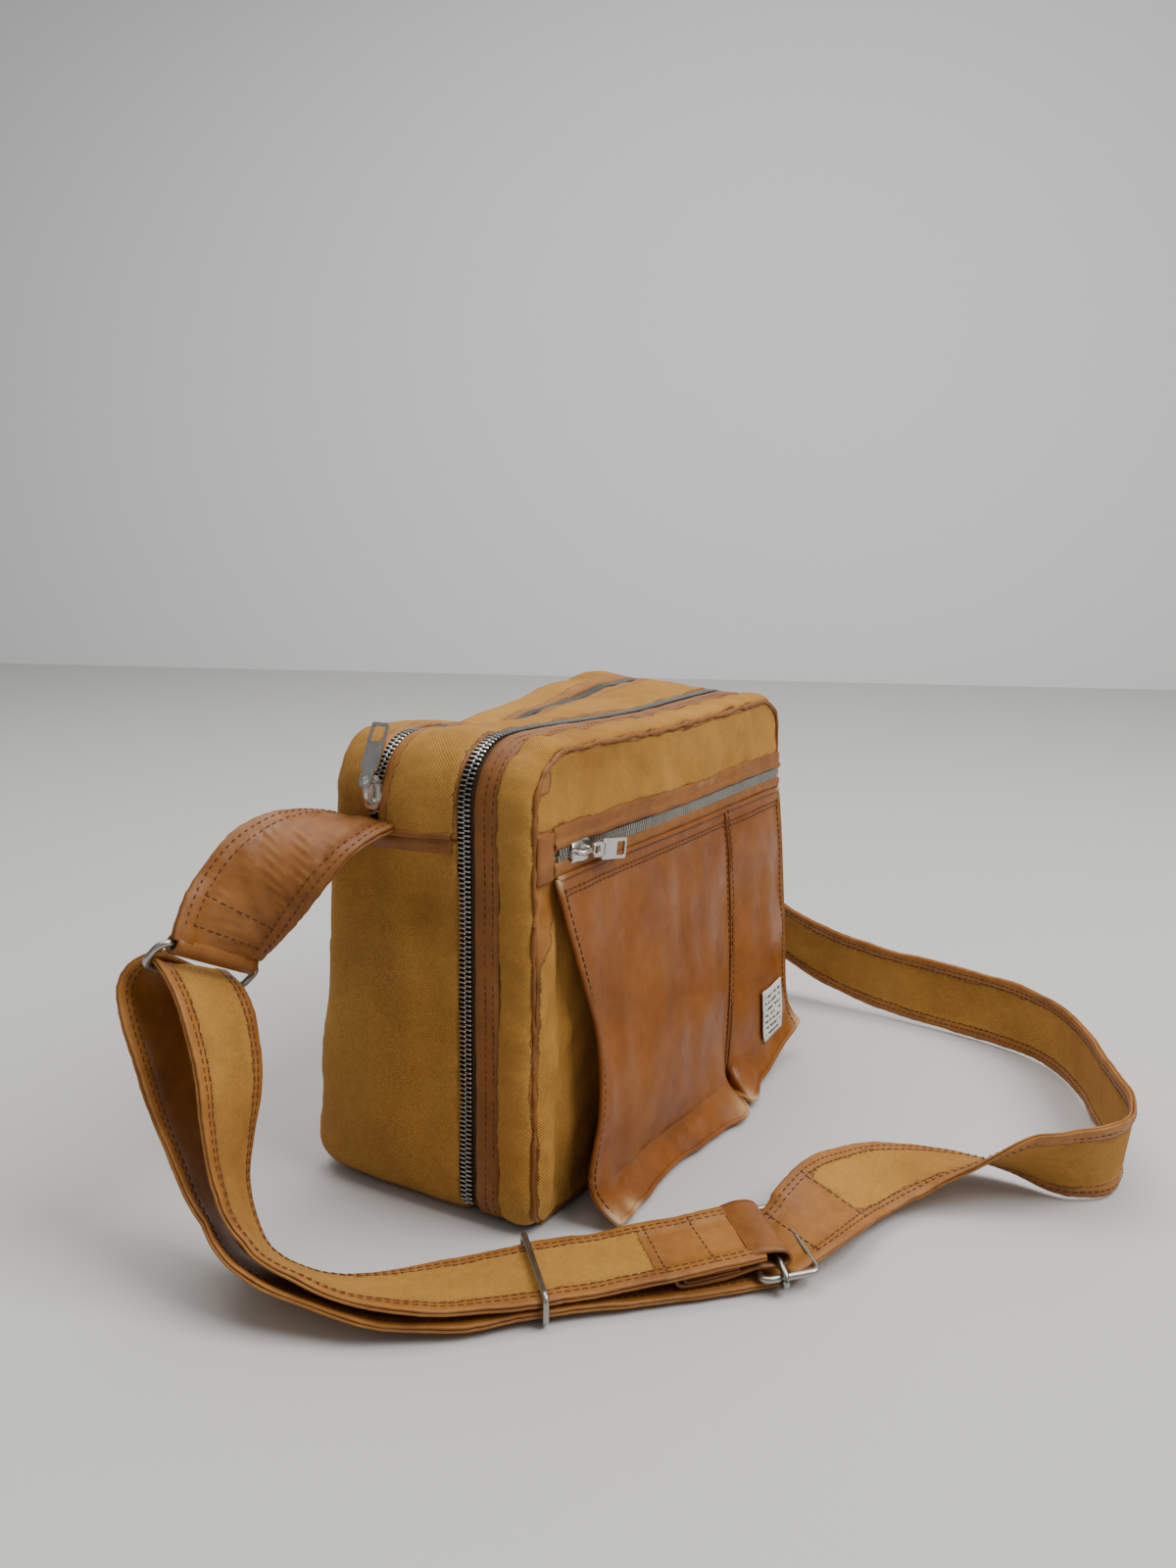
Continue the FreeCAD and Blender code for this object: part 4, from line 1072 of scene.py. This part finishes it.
for bayName, spec in bays.items():
    nu, nv = 74, (84 if bayName == "left" else 44)
    p = pocketGrid(spec, nu, nv)
    span = np.concatenate([np.zeros((1, nv)), np.cumsum(np.linalg.norm(np.diff(p, axis=0), axis=2), 0)])
    wide = np.concatenate([np.zeros((nu, 1)), np.cumsum(np.linalg.norm(np.diff(p, axis=1), axis=2), 1)], 1)
    cover = shell(f"pocket_cover_{bayName}", sag(p), np.stack([wide, span], -1), "pocket", 1.5 * mm)
    parts = [cover]

    # The outer pleat folds inwards under the cover, so that the cover's edge stands free as a ridge.
    side, column = (1, 0) if bayName == "left" else (-1, nv - 1)
    edge = p[:, column]
    k = np.linspace(0, 1, 12)[None, :, None]
    pleatBack = -0.0605
    inwards = edge[:, 0] + side * 1.8 * (pleatBack - edge[:, 1])
    root = np.stack([inwards, np.full(nu, pleatBack), edge[:, 2]], -1)
    wall = edge[:, None] * (1 - k) + root[:, None] * k
    wall[..., 0] += 0.0006 * waves(wall, 0.02, 141) * np.sin(np.pi * k[..., 0])
    uv = np.stack([np.broadcast_to(k[..., 0] * 0.02, wall.shape[:2]), span[:, :1] + 0 * k[..., 0]], -1)
    parts.append(shell(f"pocket_wall_{bayName}", sag(wall), uv, "tan", 1.2 * mm, flip=column == 0))

    lowEdge = p[-1]
    k = np.linspace(0, 1, 8)[None, :, None]
    rearX = np.clip(lowEdge[:, 0], -0.076, 0.110)
    rear = np.stack([rearX, np.full(nv, -0.0602), lowEdge[:, 2] * 0.5 + 0.0030], -1)
    base = lowEdge[:, None] * (1 - k) + rear[:, None] * k
    parts.append(shell(f"pocket_base_{bayName}", sag(base), base[..., :2].copy(), "tan", 1.1 * mm))

    # Rolled top hem, a turned lower lip and the ridge on the outer side.
    rolls = {"hem": (p[0] + np.array([0, -0.0002, 0.0001]), 1.25 * mm),
             "lip": (p[-1] + np.array([0, 0.0003, 0.0002]), 1.35 * mm), "ridge": (edge, 1.15 * mm)}
    for rollName, (line, radius) in rolls.items():
        parts.append(tube(f"pocket_{rollName}_{bayName}", sag(line), radius, "pocket"))
    pocket = joined(f"pocket_bay_{bayName}", parts)
    rubTips(pocket, spec["tips"])
    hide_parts(*spec["node"])
    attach(pocket, "front_section")
    normal = gridNormals(p)
    for row in (0.028, 0.050):
        i = int(row * nu) + 1
        addStitches("front_section", sag(p[i, 1:-1]), normal[i, 1:-1], 0.0002)
    for column in (2, nv - 3):
        addStitches("front_section", sag(p[3:-2, column]), normal[3:-2, column], 0.0002)
    if bayName == "right":
        flat = p

# The divider seam between the bays.
z = np.linspace(0.0060, 0.1540, 60)
seamX, seamY, seamRise = np.array([
    (50, -67.5, 4), (46.6, -68.2, 12), (46, -69, 21), (50, -67.9, 50), (53, -66.2, 83), (54.4, -64.8, 108),
    (54.8, -63, 134), (52.4, -61.2, 155)]).T * mm
seamLine = np.stack([np.interp(z, seamRise, seamX), np.interp(z, seamRise, seamY) - 0.0002, z], -1)
seam = tube("pocket_divider_seam", sag(seamLine), 0.55 * mm, "pocket", 6)
addStitches("front_section", sag(seamLine + np.array([0.0018, -0.0009, 0])), np.array([0.0, -1.0, 0.0]))
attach(seam, "front_section")

# A blank woven label with plain bars, tilted on the right bay.
labelX, labelZ, labelWide, labelTall, tilt = 91.5 * mm, 35.5 * mm, 23.5 * mm, 30.0 * mm, math.radians(5)
u, v = np.meshgrid(np.linspace(-0.5, 0.5, 13), np.linspace(-0.5, 0.5, 15), indexing="ij")
xs = labelX + (u * math.cos(tilt) * labelWide - v * math.sin(tilt) * labelTall)
zs = labelZ + (u * math.sin(tilt) * labelWide + v * math.cos(tilt) * labelTall)
flatPoints = flat.reshape(-1, 3)
near = np.argsort((flatPoints[None, :, 0] - xs.reshape(-1, 1)) ** 2
                  + (flatPoints[None, :, 2] - zs.reshape(-1, 1)) ** 2, axis=1)[:, :6]
ys = flatPoints[near, 1].mean(1).reshape(xs.shape) - 0.0011
labelGrid = np.stack([xs, ys, zs], -1)
labelUv = np.stack([u + 0.5, v + 0.5], -1)
label = shell("woven_label_plain", sag(labelGrid), labelUv, "label", 0.6 * mm, flip=True)
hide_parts("woven_label")
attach(label, "front_section")
for column in (0, -1):
    addStitches("label", sag(labelGrid[column]), np.repeat([[0, -1, 0]], 15, 0), 0.0002)
print("pockets done")

# Repeats: stitches and zip teeth set out by one node tree.


def unitShape(name, rings, look):
    # A small closed solid from stacked rings of points.
    n = len(rings[0])
    points = [p for ring in rings for p in ring]
    faces = quads(len(rings), n, 0, True, True).tolist()
    faces += [list(range(n))[::-1], list(range((len(rings) - 1) * n, len(rings) * n))]
    return newMesh(name, np.array(points) * mm, faces, look)


def ringAt(x, wide, tall, lift):
    a = np.linspace(0, 2 * math.pi, 6, endpoint=False)
    return [(x, wide * math.cos(t), lift + tall * math.sin(t)) for t in a]


stitchShape = unitShape("stitch_shape", [
    ringAt(-1.25, 0.10, 0.05, -0.05), ringAt(-0.95, 0.30, 0.22, 0.06),
    ringAt(0.95, 0.30, 0.22, 0.06), ringAt(1.25, 0.10, 0.05, -0.05)], "thread")


def toothRing(z, x0, x1, y0, y1):
    return [(x0, y0, z), (x1, y0, z), (x1, y1, z), (x0, y1, z)]


toothShape = unitShape("tooth_shape", [
    toothRing(-1.2, -0.36, 0.36, -1.5, 1.4), toothRing(0.7, -0.44, 0.44, -1.7, 1.5),
    toothRing(1.15, -0.28, 0.28, -1.3, 1.1)], "tooth")


def repeatTree():
    # Points set out evenly along guide lines, one shape on each, facing the way the guide says.
    tree = bpy.data.node_groups.new("set_out", "GeometryNodeTree")
    for name, kind in (("Geometry", "NodeSocketGeometry"), ("Spacing", "NodeSocketFloat"),
                       ("Shape", "NodeSocketObject"), ("Material", "NodeSocketMaterial"),
                       ("Jitter", "NodeSocketFloat"), ("Seed", "NodeSocketInt")):
        tree.interface.new_socket(name, in_out="INPUT", socket_type=kind)
    tree.interface.new_socket("Geometry", in_out="OUTPUT", socket_type="NodeSocketGeometry")
    add, link = tree.nodes.new, tree.links.new
    start, end = add("NodeGroupInput"), add("NodeGroupOutput")
    curve, even = add("GeometryNodeMeshToCurve"), add("GeometryNodeResampleCurve")
    even.mode = "LENGTH"
    link(start.outputs["Geometry"], curve.inputs[0])
    link(curve.outputs[0], even.inputs["Curve"])
    link(start.outputs["Spacing"], even.inputs["Length"])
    facing, tangent = add("GeometryNodeInputNamedAttribute"), add("GeometryNodeInputTangent")
    facing.data_type = "FLOAT_VECTOR"
    facing.inputs["Name"].default_value = "facing"
    axes = add("FunctionNodeAxesToRotation")
    axes.primary_axis, axes.secondary_axis = "Z", "X"
    link(facing.outputs[0], axes.inputs[0])
    link(tangent.outputs[0], axes.inputs[1])
    info, place = add("GeometryNodeObjectInfo"), add("GeometryNodeInstanceOnPoints")
    link(start.outputs["Shape"], info.inputs["Object"])
    link(even.outputs[0], place.inputs["Points"])
    link(info.outputs["Geometry"], place.inputs["Instance"])
    link(axes.outputs[0], place.inputs["Rotation"])
    size = add("FunctionNodeRandomValue")
    size.data_type = "FLOAT"
    low, high = add("ShaderNodeMath"), add("ShaderNodeMath")
    low.operation, high.operation = "SUBTRACT", "ADD"
    low.inputs[0].default_value = high.inputs[0].default_value = 1.0
    link(start.outputs["Jitter"], low.inputs[1])
    link(start.outputs["Jitter"], high.inputs[1])
    floats = [s for s in size.inputs if s.type == "VALUE"]
    link(low.outputs[0], floats[0])
    link(high.outputs[0], floats[1])
    link(start.outputs["Seed"], size.inputs["Seed"])
    link([s for s in size.outputs if s.type == "VALUE"][0], place.inputs["Scale"])
    real, paint = add("GeometryNodeRealizeInstances"), add("GeometryNodeSetMaterial")
    link(place.outputs[0], real.inputs[0])
    link(real.outputs[0], paint.inputs["Geometry"])
    link(start.outputs["Material"], paint.inputs["Material"])
    link(paint.outputs[0], end.inputs[0])
    return tree


setOut = repeatTree()


def repeated(name, rows, spacing, shape, look, jitter, seed):
    # One mesh with a shape set out along every row of (points, facing).
    points = np.concatenate([p for p, _ in rows])
    facing = np.concatenate([np.broadcast_to(f, p.shape) for p, f in rows])
    edges, first = [], 0
    for p, _ in rows:
        edges += [(first + i, first + i + 1) for i in range(len(p) - 1)]
        first += len(p)
    mesh = bpy.data.meshes.new(name + "_rows")
    mesh.from_pydata(points.tolist(), edges, [])
    attribute = mesh.attributes.new("facing", "FLOAT_VECTOR", "POINT")
    attribute.data.foreach_set("vector", facing.astype(np.float32).ravel())
    holder = bpy.data.objects.new(name + "_rows", mesh)
    bpy.context.scene.collection.objects.link(holder)
    modifier = holder.modifiers.new("set_out", "NODES")
    modifier.node_group = setOut
    values = {"Spacing": spacing, "Shape": shape, "Material": looks[look], "Jitter": jitter, "Seed": seed}
    for socket in setOut.interface.items_tree:
        if socket.in_out == "INPUT" and socket.name in values:
            modifier[socket.identifier] = values[socket.name]
    holder.update_tag()
    bpy.context.view_layer.update()
    made = bpy.data.meshes.new_from_object(holder.evaluated_get(bpy.context.evaluated_depsgraph_get()))
    bpy.data.objects.remove(holder)
    piece = bpy.data.objects.new(name, made)
    made.name = name
    if "facing" in made.attributes:
        made.attributes.remove(made.attributes["facing"])
    if not made.materials:
        made.materials.append(looks[look])
    made.polygons.foreach_set("use_smooth", np.full(len(made.polygons), look == "thread"))
    bpy.context.scene.collection.objects.link(piece)
    print(name, len(made.polygons), "faces")
    return piece


toothPitch, rowGap = 2.15 * mm, 1.35 * mm


def zipRow(s0, s1, y, side):
    # A row of teeth round the outline at depth y; side moves its ends by half a pitch against the mating row.
    start = s0 + (0.5 * toothPitch if side > 0 else 0.0)
    stop = s1 - (0.0 if side > 0 else 0.5 * toothPitch)
    p, n, s = roundLine(-0.0001, y, start, stop, 1.5 * mm)
    return sag(p), n


zipTopEnd = leftAt(0.1785)
trayRow, topRow = (trayS0 + 0.006, trayS1 - 0.006), (zipTopEnd, girth - zipTopEnd)
zips = {
    "perimeter_teeth_front": ("front_section", zipRow(*trayRow, splitY - rowGap, 1),
                              ["perimeter_zip_front_teeth"]),
    "perimeter_teeth_rear": ("root", zipRow(*trayRow, splitY + rowGap, -1), ["perimeter_zip_rear_teeth"]),
    "top_teeth_front": ("top_flap_front", zipRow(*topRow, topZipY - rowGap, 1), ["top_zip_front_teeth"]),
    "top_teeth_rear": ("top_flap_rear", zipRow(*topRow, topZipY + rowGap, -1),
                       ["top_zip_rear_teeth", "top_zip_end_teeth"]),
}
for name, (body, row, nodes) in zips.items():
    teeth = repeated(name, [row], toothPitch, toothShape, "tooth", 0.03, 7)
    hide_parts(*nodes)
    if body.startswith("top_flap"):
        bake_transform(teeth)
    else:
        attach(teeth, body)
for side, node in ((1, "upper"), (-1, "lower")):
    x = np.linspace(slotLeft + 0.004 + (0.5 * toothPitch if side > 0 else 0), 0.1236, 150)
    row = np.stack([x, np.full(150, frontY - 0.0004), np.full(150, zipZ + side * rowGap)], -1)
    facing = np.repeat([[0.0, -1.0, 0.0]], 150, 0)
    teeth = repeated(f"front_teeth_{node}", [(sag(row), facing)], toothPitch, toothShape, "tooth", 0.03, 9)
    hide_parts(f"front_zip_{node}_teeth")
    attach(teeth, "front_section")
for name, body, y0, y1 in (("front", "front_section", splitY - 0.0040, splitY - 0.0003),
                           ("rear", "root", splitY + 0.0003, splitY + 0.0042)):
    tape = band(f"perimeter_tape_{name}", trayS0, trayS1, [(y0, 0.0016), (y1, 0.0018)], "tape", 0.6 * mm)
    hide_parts(f"perimeter_zip_{name}_tape")
    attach(tape, body)

# Top stitching beside the perimeter zip on the rear compartment.
p, n, s = roundLine(-0.0002, splitY + 0.0060, leftAt(0.02), girth - leftAt(0.02))
addStitches("root", sag(p), n)

blends = {"side_tab": ("root", "tab", (-0.131, 0.028, 0.172), (-0.152, 0.029, 0.172)),
          "strap_upper": ("root", "tab", (-0.212, 0.027, 0.040), (-0.198, 0.060, 0.112)),
          "strap_lower": ("root", "tab", (-0.212, 0.027, 0.040), (-0.198, 0.060, 0.112)),
          "top_flap_front": ("root", "top_flap_front", (0, 0, 0.174), (0, 0, 0.205)),
          "top_flap_rear": ("root", "top_flap_rear", (0, 0, 0.174), (0, 0, 0.205))}
rowBody = {"root": "root", "front_section": "front_section", "label": "front_section", "strap_right": "root"}
for group, rows in stitches.items():
    spacing = 2.4 * mm if group == "label" else 3.4 * mm
    piece = repeated(f"stitches_{group}", rows, spacing, stitchShape, "thread", 0.10, 11)
    if group in blends:
        a, b, start, end = blends[group]
        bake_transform(piece)
    else:
        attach(piece, rowBody[group])
bpy.data.objects.remove(stitchShape)
bpy.data.objects.remove(toothShape)
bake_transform(tab)
for name in ("strap_upper", "strap_lower"):
    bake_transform(strapRuns[name][0])
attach(strapRuns["strap_right"][0], "root")
print("repeats done")

# Sliders and pulls.


def plate(outer, z0, z1, bevel, holes=()):
    # A flat plate with rounded edges, cut from a closed outline in millimetres.
    bm = bmesh.new()
    edges = []
    for loop in (outer, *holes):
        ring = [bm.verts.new((x, y, z0)) for x, y in loop]
        edges += [bm.edges.new((ring[i], ring[(i + 1) % len(ring)])) for i in range(len(ring))]
    bmesh.ops.triangle_fill(bm, use_beauty=True, edges=edges)
    bmesh.ops.recalc_face_normals(bm, faces=bm.faces)
    grown = bmesh.ops.extrude_face_region(bm, geom=list(bm.faces))
    moved = [g for g in grown["geom"] if isinstance(g, bmesh.types.BMVert)]
    bmesh.ops.translate(bm, verts=moved, vec=(0, 0, z1 - z0))
    bmesh.ops.recalc_face_normals(bm, faces=bm.faces)
    sharp = [e for e in bm.edges if len(e.link_faces) == 2 and e.calc_face_angle(0) > 0.9]
    bmesh.ops.bevel(bm, geom=sharp, offset=bevel, segments=2, affect="EDGES", clamp_overlap=True)
    return bm


def roundRect(x0, x1, y0, y1, r):
    points = []
    corners = ((x1 - r, y1 - r), (x0 + r, y1 - r), (x0 + r, y0 + r), (x1 - r, y0 + r))
    for quarter, (cx, cy) in enumerate(corners):
        for a in np.radians(np.linspace(90 * quarter, 90 * quarter + 90, 5)):
            points.append((cx + r * math.cos(a), cy + r * math.sin(a)))
    return points


def metalPiece(name, solids, matrix):
    whole = bmesh.new()
    for bm in solids:
        mesh = bpy.data.meshes.new("part")
        bm.to_mesh(mesh)
        whole.from_mesh(mesh)
        bpy.data.meshes.remove(mesh)
        bm.free()
    bmesh.ops.transform(whole, matrix=matrix @ Matrix.Scale(mm, 4), verts=whole.verts)
    mesh = bpy.data.meshes.new(name)
    whole.to_mesh(mesh)
    whole.free()
    mesh.materials.append(looks["nickel"])
    mesh.polygons.foreach_set("use_smooth", np.full(len(mesh.polygons), True))
    mesh.set_sharp_from_angle(angle=math.radians(38))
    piece = bpy.data.objects.new(name, mesh)
    bpy.context.scene.collection.objects.link(piece)
    return piece


def placing(place, along, outward):
    x, z = Vector(along).normalized(), Vector(outward).normalized()
    z = (z - x * z.dot(x)).normalized()
    return Matrix.Translation(place) @ Matrix((x, z.cross(x), z)).transposed().to_4x4()


def rod(points, radius):
    # A bent wire as a bmesh, in millimetres.
    made = tube("rod", np.asarray(points, float), radius, "nickel", 10)
    bm = bmesh.new()
    bm.from_mesh(made.data)
    bpy.data.objects.remove(made)
    return bm


def sliderSolids():
    nose = [(-7.4, -2.6), (-6.2, -3.6), (1.5, -4.9), (5.2, -4.6), (7.2, -3.0), (7.5, 0), (7.2, 3.0),
            (5.2, 4.6), (1.5, 4.9), (-6.2, 3.6), (-7.4, 2.6), (-7.9, 0)]
    rails = []
    for s in (-0.92, 0.92):
        rear, front = s * 4.3, s * 4.6
        rail = [(-6.8, rear - 0.7), (3.5, front - 0.7), (3.5, front + 0.7), (-6.8, rear + 0.7)]
        rails.append(plate(rail, -0.9, 0.4, 0.25))
    bridge = rod([(-4.9, 0, 0.9), (-4.7, 0, 2.6), (-3.6, 0, 3.9), (-1.5, 0, 4.4), (1.5, 0, 4.4),
                  (3.7, 0, 3.8), (4.8, 0, 2.5), (5.0, 0, 0.9)], 1.15)
    return [plate(nose, 0.05, 1.35, 0.35), bridge] + rails


def pullSolids():
    eye = plate(roundRect(-2.0, 7.0, -3.3, 3.3, 2.6), -0.1, 1.3, 0.3, [roundRect(-0.6, 3.6, -1.6, 1.6, 1.2)])
    window = roundRect(18.6, 25.4, -3.1, 3.1, 0.8)
    blade = plate(roundRect(6.0, 27.0, -4.6, 4.6, 1.2), 0.0, 1.1, 0.25, [window])
    rim = plate(roundRect(7.6, 16.9, -3.3, 3.3, 0.8), 1.0, 1.35, 0.12)
    return [eye, blade, rim]


sliders = {
    "top": ((-0.12985, 0.020, 0.186), (0, 0, 1), (-1, 0, 0), (-0.1342, 0.020, 0.190), (0.42, 0, 0.906)),
    "front": ((-0.093, -0.06085, 0.164), (1, 0, 0), (0, -1, 0), (-0.089, -0.06545, 0.164), (0.985, 0, -0.17)),
    "perimeter": ((0.12985, -0.027, 0.044), (0, 0, -1), (1, 0, 0), (0.1342, -0.027, 0.040), (0, 0, -1)),
}
for name, (place, along, outward, pivot, leanTo) in sliders.items():
    body = metalPiece(f"{name}_slider_body", sliderSolids(), placing(place, along, outward))
    pull = metalPiece(f"{name}_pull_plate", pullSolids(), placing(pivot, leanTo, outward))
    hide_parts(f"{name}_zip_slider")
    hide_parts(f"{name}_zip_pull")
    for piece, bodyName in ((body, f"{name}_slider"), (pull, f"{name}_pull")):
        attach(piece, bodyName)

# Wire hardware kept from the design model, and the adjuster's middle bar.

for node in ("tab_ring", "adjuster_frame", "keeper_loop"):
    piece = bpy.data.objects[node]
    piece.data.materials.clear()
    piece.data.materials.append(looks["steel"])
middle = Vector((-0.086, -0.151, 0.008))
acrossBar = Vector((0.7, 0.7, 0.05)).normalized()
leadBar = Vector((0.72, -0.69, 0.05))
alongBar = (leadBar - acrossBar * leadBar.dot(acrossBar)).normalized()
liftBar = acrossBar.cross(alongBar) * -1
if liftBar.z < 0:
    liftBar = -liftBar
barHalves, curlRadius = [], 3.1 * mm
for side in (-1, 1):
    end = middle + acrossBar * 0.0232 * side - alongBar * 0.0034
    curl = [end + (acrossBar * math.sin(a) * side + liftBar * math.cos(a)) * curlRadius
            for a in np.linspace(3.9, 0.5, 12)]
    rise = end - acrossBar * 0.0034 * side + liftBar * 0.0046
    barHalves.append([*curl, rise])
bar = tube("adjuster_bar", np.array([*barHalves[0], *barHalves[1][::-1]]), 1.35 * mm, "steel", 10)
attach(bar, "root")

# Each strap run's end point and the pieces it carries are looked up; nothing is made from them.

carried = {"strap_upper": [fold, bpy.data.objects["keeper_loop"]], "strap_lower": [],
           "strap_right": [bpy.data.objects["adjuster_frame"], bar]}
for name, (piece, line, length) in strapRuns.items():
    ends = line if name != "strap_right" else line[::-1]
    tuple(ends[0])
    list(carried[name])
